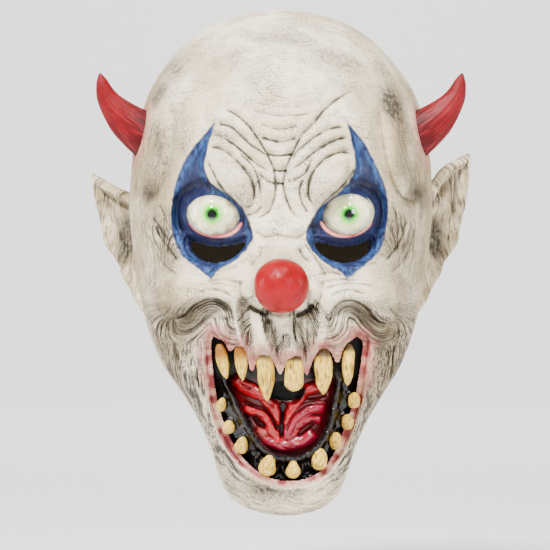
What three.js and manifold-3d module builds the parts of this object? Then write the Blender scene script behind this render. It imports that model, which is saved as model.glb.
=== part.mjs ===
// A full-head latex costume mask: a bald, grinning demon clown with horns, pointed ears, bulging eyes and a ball nose.
//
// Millimetres, +Z up, the face looks along -Y, the wearer's right hand is at -X. The origin is the middle of the flat
// seat under the crown pad, where the mask rests on the top of the wearer's head. "left" and "right" in names are as
// seen from the front: left is -X.
//
// One skin is cast hollow and open underneath. A slit in the nape lets the head in, and its two flaps fold outwards.
// Horns, ears, eye domes, ball nose, gum, tongue liner and teeth are castings of their own that are glued to the skin,
// and foam pads inside hold the skin off the wearer's head.
import * as THREE from "three";
import { mergeVertices } from "three/addons/utils/BufferGeometryUtils.js";
import Module from "manifold-3d";

const wasm = await Module();
wasm.setup();

// ---- Driving dimensions ----

const WALL = 3; // thickness of the latex skin
const GAP = 0.3; // glue line between two castings
const JAW_LEAN = 3; // the jaw hangs this far to +X of the middle
const ROWS = 28; // rings from the crown to the chin
const COLUMNS = 40; // points in each ring

// Horizontal sections of the outside: height, half width, front, back, the widest point's place front to back, and
// the power of the oval, where 2 is an ellipse and more is squarer.
const SECTIONS = [
  { z: 19.4, half: 0, front: 4, back: 4, middle: 4, power: 2.1 },
  { z: 14, half: 31, front: -30, back: 38, middle: 4, power: 2.1 },
  { z: 5, half: 49, front: -54, back: 63, middle: 5, power: 2.1 },
  { z: -10, half: 65, front: -76, back: 87, middle: 6, power: 2.1 },
  { z: -30, half: 78, front: -93, back: 105, middle: 6, power: 2.15 },
  { z: -55, half: 85.5, front: -104, back: 115, middle: 6, power: 2.2 },
  { z: -80, half: 88.5, front: -109, back: 119, middle: 5, power: 2.2 },
  { z: -105, half: 88.5, front: -109, back: 117, middle: 4, power: 2.2 },
  { z: -130, half: 86, front: -111, back: 110, middle: 0, power: 2.2 },
  { z: -150, half: 82.5, front: -113, back: 102, middle: -5, power: 2.25 },
  { z: -170, half: 77, front: -115, back: 94, middle: -10, power: 2.3 },
  { z: -190, half: 68.5, front: -115, back: 86, middle: -16, power: 2.45 },
  { z: -205, half: 58, front: -113, back: 60, middle: -24, power: 2.6 },
  { z: -220, half: 48.5, front: -110, back: 30, middle: -33, power: 2.7 },
  { z: -235, half: 41.5, front: -107, back: 6, middle: -41, power: 2.7 },
  { z: -250, half: 36.5, front: -105, back: -10, middle: -47, power: 2.6 },
  { z: -262, half: 31, front: -100, back: -22, middle: -52, power: 2.4 },
  { z: -270, half: 20, front: -88, back: -34, middle: -57, power: 2.2 },
  { z: -273.6, half: 0, front: -62, back: -62, middle: -62, power: 2.1 },
];
const CROWN = SECTIONS[0].z;
const CHIN = SECTIONS[SECTIONS.length - 1].z;

// Swellings and hollows of the face: middle, reach and height outwards. Those with mirror are on both sides.
const FORMS = [
  { x: 30, z: -80, wide: 22, high: 13, out: 5, mirror: true }, // brow
  { x: 38, z: -107, wide: 19, high: 20, out: -7, mirror: true }, // eye socket
  { x: 50, z: -148, wide: 22, high: 15, out: 7, mirror: true }, // cheek
  { x: 0, z: -134, wide: 13, high: 22, out: 8 }, // nose
  { x: 0, z: -168, wide: 26, high: 11, out: 3 }, // upper lip
  { x: 3, z: -262, wide: 20, high: 9, out: 3 }, // chin
];

// The open edge in side view, from behind the nape, under the ear, down the jaw and under the chin.
const RIM = [
  [150, -190],
  [80, -190],
  [25, -188],
  [-10, -194],
  [-31, -212],
  [-42, -236],
  [-55, -262],
  [-59, -290],
];

const EYE = { x: 36.5, z: -103.5, radius: 17, middle: -86, back: -88 };
const SLOT = { x: 35, z: -124, width: 36, height: 14 };
const NOSE = { z: -143, radius: 15.4, middle: -128 };
const MOUTH_TOP = -173;
const GUM = { lap: 4, front: 3.4, back: 11 }; // depths are from the outside of the skin
const TONGUE = { lap: 4, front: 11.4, back: 14.4 };
const THROAT = { x: 2, z: -203, width: 20, height: 13 };
const GAUZE = { lap: 3, front: 14.8, back: 15.8 };

const SLIT = { top: -125, gap: 3, relief: 5, reach: 50, fold: 1.3 };

// ---- Solids ----

function solid(geometry, matrix) {
  const bare = geometry.clone();
  if (matrix) bare.applyMatrix4(matrix);
  bare.deleteAttribute("normal");
  bare.deleteAttribute("uv");
  const merged = mergeVertices(bare, 1e-4);
  return new wasm.Manifold(
    new wasm.Mesh({
      numProp: 3,
      vertProperties: new Float32Array(merged.attributes.position.array),
      triVerts: new Uint32Array(merged.index.array),
    }),
  );
}

function geometryOf(made) {
  const mesh = made.getMesh();
  const geometry = new THREE.BufferGeometry();
  geometry.setAttribute(
    "position",
    new THREE.BufferAttribute(mesh.vertProperties, 3),
  );
  geometry.setIndex(new THREE.BufferAttribute(mesh.triVerts, 1));
  geometry.computeVertexNormals();
  return geometry;
}

// A closed body from rings of points, each ring the same length, with a point at either end.
function skinned(rings, first, last) {
  const count = rings[0].length;
  const points = [first, ...rings.flat(), last];
  const index = [];
  for (let j = 0; j < count; j++) {
    const k = (j + 1) % count;
    index.push(0, 1 + j, 1 + k);
    for (let i = 0; i + 1 < rings.length; i++) {
      const a = 1 + i * count;
      index.push(a + j, a + count + j, a + count + k);
      index.push(a + j, a + count + k, a + k);
    }
    const end = 1 + (rings.length - 1) * count;
    index.push(end + j, points.length - 1, end + k);
  }
  const geometry = new THREE.BufferGeometry().setFromPoints(points);
  geometry.setIndex(index);
  return geometry;
}

// An outline in front view, [x, z] points going round, as a prism between two depths.
function prism(outline, near, far) {
  const shape = new THREE.Shape(
    outline.map(([x, z]) => new THREE.Vector2(x, z)),
  );
  const geometry = new THREE.ExtrudeGeometry(shape, {
    depth: far - near,
    bevelEnabled: false,
  });
  // Extrusion runs along +Z; this turn sends it along -Y, so it starts at the far side.
  return solid(
    geometry,
    new THREE.Matrix4()
      .makeTranslation(0, far, 0)
      .multiply(new THREE.Matrix4().makeRotationX(Math.PI / 2)),
  );
}

function block(low, high) {
  const size = high.map((value, i) => value - low[i]);
  const middle = high.map((value, i) => (value + low[i]) / 2);
  return solid(
    new THREE.BoxGeometry(...size),
    new THREE.Matrix4().makeTranslation(...middle),
  );
}

function ball(middle, radii, detail = 20) {
  return solid(
    new THREE.SphereGeometry(1, detail, Math.round(detail * 0.6)),
    new THREE.Matrix4()
      .makeTranslation(...middle)
      .multiply(new THREE.Matrix4().makeScale(...radii)),
  );
}

// ---- The head's outside ----

const clamp = (value) => Math.min(1, Math.max(0, value));
const ease = (value) => clamp(value) ** 2 * (3 - 2 * clamp(value));

// 0 at the crown and 1 at the chin, spaced so that the rings close up at both ends.
const along = (z) => Math.acos((2 * (z - CHIN)) / (CROWN - CHIN) - 1) / Math.PI;
const heightAt = (t) =>
  CHIN + ((CROWN - CHIN) * (1 + Math.cos(Math.PI * t))) / 2;

// One column of SECTIONS at a place between them, by cubic pieces that pass through every section.
function profile(key, t) {
  const at = SECTIONS.map((section) => along(section.z));
  const value = SECTIONS.map((section) => section[key]);
  const last = at.length - 1;
  const slope = (i) => {
    const low = Math.max(0, i - 1);
    const high = Math.min(last, i + 1);
    return (value[high] - value[low]) / (at[high] - at[low]);
  };
  const next = at.findIndex((a) => a > t);
  const j = next < 0 ? last : Math.max(1, next);
  const i = j - 1;
  const step = at[j] - at[i];
  const u = clamp((t - at[i]) / step);
  return (
    value[i] * (1 + 2 * u) * (1 - u) ** 2 +
    slope(i) * step * u * (1 - u) ** 2 +
    value[j] * u * u * (3 - 2 * u) -
    slope(j) * step * u * u * (1 - u)
  );
}

const lean = (z) => JAW_LEAN * ease((-150 - z) / 60);

// 1 on the face and 0 from the sides of the head back, from the cosine of the turn round the head.
const facing = (c) => ease(c * 1.6);

function formsAt(x, z) {
  let out = 0;
  for (const form of FORMS) {
    for (const side of form.mirror ? [-1, 1] : [1]) {
      const u = (x - side * form.x) / form.wide;
      const v = (z - form.z) / form.high;
      out += form.out * Math.exp(-(u * u + v * v));
    }
  }
  return out;
}

// A point on the outside, at a turn round the head: 0 is the face and a quarter turn is +X.
function outside(turn, t) {
  const z = heightAt(t);
  const [half, front, back, middle, power] = [
    "half",
    "front",
    "back",
    "middle",
    "power",
  ].map((key) => profile(key, t));
  const s = Math.sin(turn);
  const c = Math.cos(turn);
  const reach = (Math.abs(s) ** power + Math.abs(c) ** power) ** (-1 / power);
  const depth = c > 0 ? middle - front : back - middle;
  const x = s * reach * half + facing(c) * lean(z);
  const y = middle - c * reach * depth;
  return new THREE.Vector3(x, y - facing(c) * formsAt(x, z), z);
}

// The head as a closed solid, moved outwards by some millimetres, or inwards if they are negative.
function head(offset) {
  const step = 1e-3;
  const rings = [];
  for (let i = 1; i < ROWS; i++) {
    const ring = [];
    for (let j = 0; j < COLUMNS; j++) {
      const turn = (2 * Math.PI * j) / COLUMNS;
      const t = i / ROWS;
      const down = outside(turn, t + step).sub(outside(turn, t - step));
      const round = outside(turn + step, t).sub(outside(turn - step, t));
      const normal = new THREE.Vector3().crossVectors(down, round).normalize();
      ring.push(outside(turn, t).addScaledVector(normal, offset));
    }
    rings.push(ring);
  }
  const top = outside(0, 0).setZ(CROWN + offset);
  const bottom = outside(0, 1).setZ(CHIN - offset);
  return solid(skinned(rings, top, bottom));
}

// The front of the outside at a place in front view.
function frontAt(x, z) {
  const t = along(z);
  const share = Math.min(1, Math.abs((x - lean(z)) / profile("half", t)));
  const depth = profile("middle", t) - profile("front", t);
  const power = profile("power", t);
  const flat = depth * (1 - share ** power) ** (1 / power);
  return profile("middle", t) - flat - formsAt(x, z);
}

const layers = new Map();
function layer(offset) {
  if (!layers.has(offset)) layers.set(offset, head(offset));
  return layers.get(offset);
}

// What lies between two depths under the outside.
const shell = (near, far) => layer(-near).subtract(layer(-far));

// ---- Outlines in front view ----

function closedCurve(points, count) {
  const curve = new THREE.CatmullRomCurve3(
    points.map(([x, z]) => new THREE.Vector3(x, z, 0)),
    true,
  );
  return curve.getSpacedPoints(count).slice(0, count);
}

// A closed outline, moved outwards by some millimetres.
function outline(points, count, grow = 0) {
  const line = closedCurve(points, count);
  const area = line.reduce((sum, p, i) => {
    const q = line[(i + 1) % count];
    return sum + p.x * q.y - q.x * p.y;
  }, 0);
  return line.map((p, i) => {
    const before = line[(i + count - 1) % count];
    const after = line[(i + 1) % count];
    const tangent = after.clone().sub(before).normalize();
    const side = Math.sign(area);
    return [p.x + side * tangent.y * grow, p.y - side * tangent.x * grow];
  });
}

const oval = (x, z, width, height, count = 16) =>
  Array.from({ length: count }, (_, i) => {
    const turn = (2 * Math.PI * i) / count;
    return [x + (width / 2) * Math.cos(turn), z + (height / 2) * Math.sin(turn)];
  });

const MOUTH = [
  [3, MOUTH_TOP],
  [27, MOUTH_TOP + 2],
  [45, MOUTH_TOP + 1],
  [49, MOUTH_TOP - 12],
  [45, -212],
  [35, -234],
  [20, -249],
  [3, -252.5],
  [-14, -249],
  [-28, -235],
  [-37, -212],
  [-42, MOUTH_TOP - 12],
  [-38, MOUTH_TOP + 1],
  [-20, MOUTH_TOP + 2],
];
const MOUTH_STEPS = 36;

// The inner edge of the gum, round the tongue.
const GUM_EDGE = [
  [3, -189],
  [20, -189],
  [29, -195],
  [27, -209],
  [23, -224],
  [13, -234.5],
  [1, -236],
  [-9, -231],
  [-17, -219],
  [-24, -206],
  [-29, -195],
  [-16, -189],
];
const GUM_EDGE_STEPS = 28;

// ---- The skin, its slit and its flaps ----

function rimCutter() {
  const edge = new THREE.SplineCurve(
    RIM.map(([y, z]) => new THREE.Vector2(y, z)),
  ).getPoints(20);
  const shape = new THREE.Shape([...edge, new THREE.Vector2(150, -290)]);
  const width = 260;
  const geometry = new THREE.ExtrudeGeometry(shape, {
    depth: width,
    bevelEnabled: false,
  });
  // The shape is drawn in (Y, Z), and its extrusion runs along X.
  const turn = new THREE.Matrix4().makeBasis(
    new THREE.Vector3(0, 1, 0),
    new THREE.Vector3(0, 0, 1),
    new THREE.Vector3(1, 0, 0),
  );
  return solid(
    geometry,
    new THREE.Matrix4().makeTranslation(-width / 2, 0, 0).multiply(turn),
  );
}

// A slot's top edge follows the lid above it, and its bottom edge is rounder.
function slotOutline(side) {
  const { x, z, width, height } = SLOT;
  const points = [
    [-width / 2, height * 0.5],
    [0, height * 0.36],
    [width / 2, height * 0.5],
    [width * 0.42, -height * 0.2],
    [0, -height * 0.53],
    [-width * 0.42, -height * 0.2],
  ];
  return outline(
    points.map(([u, v]) => [side * (x + u), z + v]),
    18,
  );
}

const BACK = [20, 150]; // depths that reach only the back of the head
const FRONT = [-150, -40];
const MOUTH_REACH = [-150, -62];
const SLIT_LOW = -215;

// The part of the nape that one flap takes up. side is 0 for both flaps at once.
function flapOutline(side, grow) {
  const slope = SLIT.reach / (SLIT.top + 190);
  const out = Math.abs(slope * (SLIT_LOW - SLIT.top)) + grow;
  if (side === 0)
    return [
      [0, SLIT.top + grow],
      [-out, SLIT_LOW],
      [out, SLIT_LOW],
    ];
  const inner = SLIT.gap / 2;
  return [
    [side * inner, SLIT.top - inner / Math.abs(slope) - 2 * grow],
    [side * inner, SLIT_LOW],
    [side * (out - 2 * grow), SLIT_LOW],
  ];
}

const eyeBalls = [-1, 1].map((side) =>
  ball([side * EYE.x, EYE.middle, EYE.z], Array(3).fill(EYE.radius), 24),
);

function makeSkin() {
  const whole = shell(0, WALL).subtract(rimCutter());
  const openings = [
    prism(outline(MOUTH, MOUTH_STEPS), ...FRONT),
    prism(slotOutline(-1), ...FRONT),
    prism(slotOutline(1), ...FRONT),
    ...[-1, 1].map((side) =>
      ball(
        [side * EYE.x, EYE.middle, EYE.z],
        Array(3).fill(EYE.radius + GAP),
        24,
      ),
    ),
  ];
  const relief = prism(
    oval(0, SLIT.top, 2 * SLIT.relief, 2 * SLIT.relief),
    ...BACK,
  );
  const nape = prism(flapOutline(0, SLIT.fold), ...BACK).add(relief);
  const flaps = [-1, 1].map((side) =>
    whole
      .intersect(prism(flapOutline(side, SLIT.fold), ...BACK))
      .subtract(relief),
  );
  const skin = openings.reduce(
    (rest, opening) => rest.subtract(opening),
    whole.subtract(nape),
  );
  return { skin, flaps };
}

// ---- Castings glued to the outside ----

// A tapered body along a bent axis: stations give a middle and two radii, in front view.
function horn(side) {
  const axis = new THREE.CatmullRomCurve3(
    [
      [62, -30, -64],
      [78, -31, -56],
      [91, -32, -46],
      [100.5, -33, -34],
      [105, -34, -20],
    ].map(([x, y, z]) => new THREE.Vector3(side * x, y, z)),
  );
  const radius = (u) => 16 * (1 - u) ** 0.8 + 1.2;
  const steps = 12;
  const sides = 16;
  const rings = [];
  for (let i = 0; i < steps; i++) {
    const u = i / steps;
    const middle = axis.getPointAt(u);
    const ahead = axis.getTangentAt(u);
    const across = new THREE.Vector3(0, 1, 0).cross(ahead).normalize();
    const third = ahead.clone().cross(across);
    rings.push(
      Array.from({ length: sides }, (_, j) => {
        const turn = (-2 * Math.PI * j) / sides;
        return middle
          .clone()
          .addScaledVector(across, radius(u) * Math.cos(turn))
          .addScaledVector(third, radius(u) * 0.85 * Math.sin(turn));
      }),
    );
  }
  return solid(skinned(rings, axis.getPointAt(0), axis.getPointAt(1))).subtract(
    layer(GAP),
  );
}

// An ear's blade stands outwards and backwards from the head. Its outline is drawn in (u, z), with u along the blade
// away from its base. The bowl is hollowed into its front.
const EAR = { out: 0.75, back: 0.66, thick: 9, bevel: 2, base: [80, 0] };
const EAR_BOWL = { u: 19, z: -112, ahead: 9.5, radii: [10, 10, 18] };

function ear(side, tip) {
  const blade = [
    [-12, -100],
    [4, -91],
    [22, tip - 9],
    [41, tip],
    [38, -92],
    [34, -106],
    [30, -119],
    [21, -132],
    [12, -145],
    [4, -157],
    [-4, -161],
    [-12, -150],
    [-14, -125],
  ];
  const shape = new THREE.Shape(
    outline(blade, 28).map(([u, z]) => new THREE.Vector2(u, z)),
  );
  const depth = EAR.thick - 2 * EAR.bevel;
  const geometry = new THREE.ExtrudeGeometry(shape, {
    depth,
    bevelEnabled: true,
    bevelThickness: EAR.bevel,
    bevelSize: EAR.bevel,
    bevelOffset: -EAR.bevel,
    bevelSegments: 1,
  });
  geometry.translate(0, 0, -depth / 2);
  const out = new THREE.Vector3(side * EAR.out, EAR.back, 0);
  const up = new THREE.Vector3(0, 0, 1);
  const place = new THREE.Matrix4()
    .makeBasis(out, up, out.clone().cross(up))
    .setPosition(side * EAR.base[0], EAR.base[1], 0);
  const face = new THREE.Vector3(side * EAR.back, -EAR.out, 0);
  const bowl = new THREE.Vector3(side * EAR.base[0], EAR.base[1], EAR_BOWL.z)
    .addScaledVector(out, EAR_BOWL.u)
    .addScaledVector(face, EAR_BOWL.ahead);
  return solid(geometry, place)
    .subtract(ball(bowl.toArray(), EAR_BOWL.radii, 16))
    .subtract(layer(GAP));
}

const noseBall = () =>
  ball([0, NOSE.middle, NOSE.z], Array(3).fill(NOSE.radius), 24).subtract(
    layer(GAP),
  );

function eyeDome(index) {
  const side = index ? 1 : -1;
  const reach = EYE.radius + 2;
  const front = block(
    [side * EYE.x - reach, EYE.middle - reach, EYE.z - reach],
    [side * EYE.x + reach, EYE.back, EYE.z + reach],
  );
  return eyeBalls[index]
    .intersect(front)
    .subtract(prism(outline(slotSurround(side), 18), ...FRONT));
}

// The bottom of an eye dome is trimmed back from the slot under it.
function slotSurround(side) {
  const { x, z, width, height } = SLOT;
  return [
    [side * (x - width / 2 - 4), z + height * 0.5],
    [side * x, z + height * 0.47],
    [side * (x + width / 2 + 4), z + height * 0.5],
    [side * (x + width / 2), z - height],
    [side * x, z - height * 1.3],
    [side * (x - width / 2), z - height],
  ];
}

// ---- Teeth, gum and tongue ----

// Upper teeth hang from the lip: root, tip and width. The fourth is a blunt peg.
const UPPER_TEETH = [
  { root: [-34.5, -177.5], tip: [-30.5, -195], width: 6.8 },
  { root: [-23.3, -178], tip: [-21.2, -195.5], width: 7.4 },
  { root: [-9.5, -181], tip: [-7.8, -207], width: 9.4 },
  { root: [7, -183], tip: [7, -201.5], width: 10.6, blunt: true },
  { root: [23.2, -180], tip: [23.2, -203.5], width: 10.4 },
  { root: [37.7, -177.5], tip: [36.8, -198.5], width: 7.2 },
];

// Lower teeth are pebbles round the gum: middle, width and height.
const LOWER_TEETH = [
  { at: [-34, -209.4], width: 6, height: 8 },
  { at: [-29.4, -222], width: 7, height: 7.8 },
  { at: [-22.6, -232], width: 8, height: 9.8 },
  { at: [-8.4, -242.5], width: 10.8, height: 12.8 },
  { at: [6.5, -243.5], width: 9, height: 12.8 },
  { at: [21, -239.6], width: 9.7, height: 12.4 },
  { at: [30.4, -229.6], width: 7.4, height: 10 },
  { at: [37, -219.2], width: 7.2, height: 9.2 },
  { at: [40.6, -207], width: 7, height: 9.4 },
];

const TOOTH_DEPTH = 3.2; // how far a tooth's middle lies under the outside

function upperTooth({ root, tip, width, blunt }, grow = 0) {
  const from = new THREE.Vector3(
    root[0],
    frontAt(...root) + TOOTH_DEPTH,
    root[1],
  );
  const to = new THREE.Vector3(tip[0], frontAt(...tip) + TOOTH_DEPTH, tip[1]);
  const length = from.distanceTo(to) + 2 * grow;
  const radius = width / 2 + grow;
  const wide = blunt
    ? [0, 0.72, 0.95, 1, 1, 0.92, 0.6, 0]
    : [0, 0.7, 0.93, 1, 0.94, 0.74, 0.42, 0];
  const stations = [0, 0.02, 0.12, 0.3, 0.55, 0.8, 0.95, 1];
  const profilePoints = stations.map(
    (s, i) => new THREE.Vector2(radius * wide[i], s * length),
  );
  const axis = to.clone().sub(from).normalize();
  const turn = new THREE.Quaternion().setFromUnitVectors(
    new THREE.Vector3(0, 1, 0),
    axis,
  );
  const place = new THREE.Matrix4().compose(
    from.addScaledVector(axis, -grow),
    turn,
    new THREE.Vector3(1, 1, 1),
  );
  return solid(new THREE.LatheGeometry(profilePoints, 10), place);
}

function lowerTooth({ at, width, height }, grow = 0) {
  const middle = [at[0], frontAt(...at) + TOOTH_DEPTH + 0.6, at[1]];
  return ball(
    middle,
    [width / 2 + grow, width / 2 + grow, height / 2 + grow],
    12,
  );
}

const mouthPrism = (grow) =>
  prism(outline(MOUTH, MOUTH_STEPS, grow), ...MOUTH_REACH);
const tonguePrism = (grow) =>
  prism(outline(GUM_EDGE, GUM_EDGE_STEPS, grow), ...FRONT);

function gumArch() {
  const band = shell(GUM.front, GUM.back).intersect(
    mouthPrism(GUM.lap).subtract(tonguePrism(0)),
  );
  const sockets = [
    ...UPPER_TEETH.map((tooth) => upperTooth(tooth, GAP)),
    ...LOWER_TEETH.map((tooth) => lowerTooth(tooth, GAP)),
  ];
  return sockets
    .reduce((rest, socket) => rest.subtract(socket), band)
    .subtract(layer(-WALL).intersect(rimCutter()));
}

function tongueLiner() {
  return shell(TONGUE.front, TONGUE.back)
    .intersect(tonguePrism(TONGUE.lap))
    .subtract(
      prism(oval(THROAT.x, THROAT.z, THROAT.width, THROAT.height), ...FRONT),
    );
}

const throatGauze = () =>
  shell(GAUZE.front, GAUZE.back).intersect(
    prism(
      oval(
        THROAT.x,
        THROAT.z,
        THROAT.width + 2 * GAUZE.lap,
        THROAT.height + 2 * GAUZE.lap,
      ),
      ...FRONT,
    ),
  );

// ---- Foam pads ----

const PAD_LINE = WALL + GAP;

function crownPad() {
  const disc = solid(
    new THREE.CylinderGeometry(38, 38, 40, 32),
    new THREE.Matrix4()
      .makeTranslation(0, 0, 20)
      .multiply(new THREE.Matrix4().makeRotationX(Math.PI / 2)),
  );
  return disc.intersect(layer(-PAD_LINE));
}

// A pad between the skin and a flat face that meets the wearer.
const pad = (low, high) => block(low, high).intersect(layer(-PAD_LINE));

// ---- Materials ----

const paint = (color, roughness) =>
  new THREE.MeshStandardMaterial({ color, roughness, metalness: 0 });
const MATERIALS = {
  skin: paint(0xd9d3c7, 0.62),
  red: paint(0xc4232c, 0.45),
  eye: paint(0xe9e7dc, 0.12),
  gum: paint(0x14110f, 0.2),
  tongue: paint(0xb3122a, 0.22),
  tooth: paint(0xd9c069, 0.35),
  foam: paint(0x2b2b2d, 0.95),
  gauze: paint(0x0d0d0d, 0.9),
};

// ---- Assembly ----

const mask = new THREE.Group();
function place(name, made, material) {
  const mesh = new THREE.Mesh(geometryOf(made), MATERIALS[material]);
  mesh.name = name;
  mask.add(mesh);
}

const { skin, flaps } = makeSkin();
place("head_skin", skin, "skin");
place("rear_flap_left", flaps[0], "skin");
place("rear_flap_right", flaps[1], "skin");
place("horn_left", horn(-1), "red");
place("horn_right", horn(1), "red");
place("ear_left", ear(-1, -76), "skin");
place("ear_right", ear(1, -64), "skin");
place("nose_ball", noseBall(), "red");
place("eye_dome_left", eyeDome(0), "eye");
place("eye_dome_right", eyeDome(1), "eye");
place("gum_arch", gumArch(), "gum");
place("tongue_liner", tongueLiner(), "tongue");
place("throat_gauze", throatGauze(), "gauze");
UPPER_TEETH.forEach((tooth, i) =>
  place(`tooth_upper_${i + 1}`, upperTooth(tooth), "tooth"),
);
LOWER_TEETH.forEach((tooth, i) =>
  place(`tooth_lower_${i + 1}`, lowerTooth(tooth), "tooth"),
);
place("crown_pad", crownPad(), "foam");
place("forehead_pad", pad([-32, -120, -58], [32, -88, -30]), "foam");
place("temple_pad_left", pad([-100, -22, -74], [-76, 22, -46]), "foam");
place("temple_pad_right", pad([76, -22, -74], [100, 22, -46]), "foam");

export default mask;
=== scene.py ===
"""Looks of a full-head latex costume mask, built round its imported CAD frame.

Sizes are millimetres in the CAD frame, turned to metres when a mesh is made. The face looks along -Y, and
"left" is -X, as seen from the front. The face's features are drawn in front view, as (x, z).
"""

import math

import bpy
import numpy as np
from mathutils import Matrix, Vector


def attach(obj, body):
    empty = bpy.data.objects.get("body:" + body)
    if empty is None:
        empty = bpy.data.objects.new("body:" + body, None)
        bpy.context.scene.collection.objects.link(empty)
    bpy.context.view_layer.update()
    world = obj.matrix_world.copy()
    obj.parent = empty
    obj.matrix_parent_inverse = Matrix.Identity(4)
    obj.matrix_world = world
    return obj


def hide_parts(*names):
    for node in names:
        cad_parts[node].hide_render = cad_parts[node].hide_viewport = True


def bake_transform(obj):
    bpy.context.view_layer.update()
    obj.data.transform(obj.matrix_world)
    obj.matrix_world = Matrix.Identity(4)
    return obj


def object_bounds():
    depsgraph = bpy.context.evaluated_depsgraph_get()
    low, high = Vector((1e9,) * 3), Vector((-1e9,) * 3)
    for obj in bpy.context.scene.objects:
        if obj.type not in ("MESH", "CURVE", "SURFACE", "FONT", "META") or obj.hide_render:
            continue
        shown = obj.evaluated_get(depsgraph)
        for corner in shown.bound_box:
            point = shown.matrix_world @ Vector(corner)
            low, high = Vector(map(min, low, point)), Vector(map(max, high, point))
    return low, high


MM = 0.001
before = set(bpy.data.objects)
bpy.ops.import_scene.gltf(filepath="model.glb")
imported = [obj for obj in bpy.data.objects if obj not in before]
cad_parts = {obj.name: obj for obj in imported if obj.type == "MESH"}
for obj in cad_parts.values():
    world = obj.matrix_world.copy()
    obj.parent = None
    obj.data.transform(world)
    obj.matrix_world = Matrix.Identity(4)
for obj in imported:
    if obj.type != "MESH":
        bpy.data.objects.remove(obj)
CAD_BOX = [[float(value) for value in corner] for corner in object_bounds()]

# ---- Camera, light and floor ----

CAMERA_AT = (-3.5, -1800.0, -137.0)
VIEW_WIDTH = 324.5  # seen across the picture, at the middle of the head
SENSOR = 36.0
FLOOR_DROP = 60.0  # the mask is held up by its crown, clear of the floor


def link(obj):
    bpy.context.scene.collection.objects.link(obj)
    return obj


def make_camera():
    data = bpy.data.cameras.new("camera")
    data.sensor_width = SENSOR
    data.lens = SENSOR * -CAMERA_AT[1] / VIEW_WIDTH
    camera = link(bpy.data.objects.new("camera", data))
    camera.location = [value * MM for value in CAMERA_AT]
    camera.rotation_euler = (math.pi / 2, 0, 0)
    bpy.context.scene.camera = camera


HEAD_MIDDLE = (0, 0, -0.13)  # metres, where the lamps aim
# Square soft boxes: name, place, size and aim in metres, and power in watts.
LIGHTS = [
    ("key", (-0.42, -1.05, 1.05), 0.36, HEAD_MIDDLE, 72),
    ("fill", (0.8, -1.4, 0.3), 0.5, HEAD_MIDDLE, 16),
    ("top", (0.3, -0.5, 1.3), 0.4, HEAD_MIDDLE, 15),
    ("side_left", (-1.4, -0.1, 0.1), 0.5, HEAD_MIDDLE, 9),
    ("side_right", (1.4, -0.1, 0.1), 0.5, HEAD_MIDDLE, 9),
    ("backdrop", (0, 2.0, 2.0), 1.6, (0, 3.5, -0.3), 110),
]
WORLD_LIGHT = 0.2


def make_lights():
    for name, at, size, aim, power in LIGHTS:
        data = bpy.data.lights.new(name, "AREA")
        data.size = size
        data.energy = power
        lamp = link(bpy.data.objects.new(name, data))
        lamp.location = at
        lamp.rotation_euler = (Vector(aim) - lamp.location).to_track_quat("-Z", "Y").to_euler()
    world = bpy.data.worlds.new("studio")
    world.use_nodes = True
    background = world.node_tree.nodes["Background"]
    background.inputs["Color"].default_value = (1, 1, 1, 1)
    background.inputs["Strength"].default_value = WORLD_LIGHT
    bpy.context.scene.world = world


# ---- Noise and curves, in numpy ----


def clamp(value):
    return np.clip(value, 0.0, 1.0)


def ease(value):
    value = clamp(value)
    return value * value * (3 - 2 * value)


def ramp(low, high, value):
    """Smoothly 0 at low and 1 at high, and low may be the larger."""
    return ease((value - low) / (high - low))


def bell(distance, width):
    return np.exp(-((distance / width) ** 2))


LATTICE = 24
TABLES = {}


def noise(seed, *axes):
    """Smooth noise from -1 to 1, one cell to each whole number along up to three axes."""
    if seed not in TABLES:
        TABLES[seed] = np.random.default_rng(seed).random((LATTICE,) * 3) * 2 - 1
    table = TABLES[seed]
    axes = [np.asarray(a, float) for a in axes] + [0.0] * (3 - len(axes))
    axes = np.broadcast_arrays(*axes)
    whole = [np.floor(a).astype(int) for a in axes]
    part = [ease(a - w) for a, w in zip(axes, whole)]
    total = 0.0
    for corner in range(8):
        bits = [(corner >> k) & 1 for k in range(3)]
        weight = 1.0
        for bit, share in zip(bits, part):
            weight = weight * (share if bit else 1 - share)
        at = tuple((w + bit) % LATTICE for w, bit in zip(whole, bits))
        total = total + weight * table[at]
    return total


def layered(seed, *axes, layers=3):
    total = 0.0
    for k in range(layers):
        total = total + noise(seed + k, *[a * 2**k for a in axes]) / 2**k
    return total / 1.6


def smooth_line(points, closed=False, step=1.2):
    """Points along a Catmull-Rom curve through the given ones, about a step apart."""
    p = np.array(points, float)
    count = len(p)
    out = []
    for i in range(count if closed else count - 1):
        near = [(i + k) % count if closed else min(max(i + k, 0), count - 1) for k in (-1, 0, 1, 2)]
        a, b, c, d = p[near]
        square, cube = 2 * a - 5 * b + 4 * c - d, 3 * b - 3 * c + d - a
        pieces = max(2, int(np.linalg.norm(c - b) / step))
        for u in np.arange(pieces) / pieces:
            out.append(0.5 * (2 * b + (c - a) * u + square * u**2 + cube * u**3))
    if not closed:
        out.append(p[-1])
    return np.array(out)


def lengths_along(points):
    """How far along a line of points each one is."""
    return np.concatenate([[0], np.cumsum(np.linalg.norm(np.diff(points, axis=0), axis=1))])


def turned(x, z, middle, degrees):
    """x and z measured from middle, along axes turned by degrees."""
    turn = math.radians(degrees)
    dx, dz = x - middle[0], z - middle[1]
    return dx * math.cos(turn) + dz * math.sin(turn), dz * math.cos(turn) - dx * math.sin(turn)


def near_to(line, x, z, reach):
    """Indexes of the places within reach of the line's box."""
    low, high = line.min(0) - reach, line.max(0) + reach
    return np.flatnonzero((x > low[0]) & (x < high[0]) & (z > low[1]) & (z < high[1]))


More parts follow.
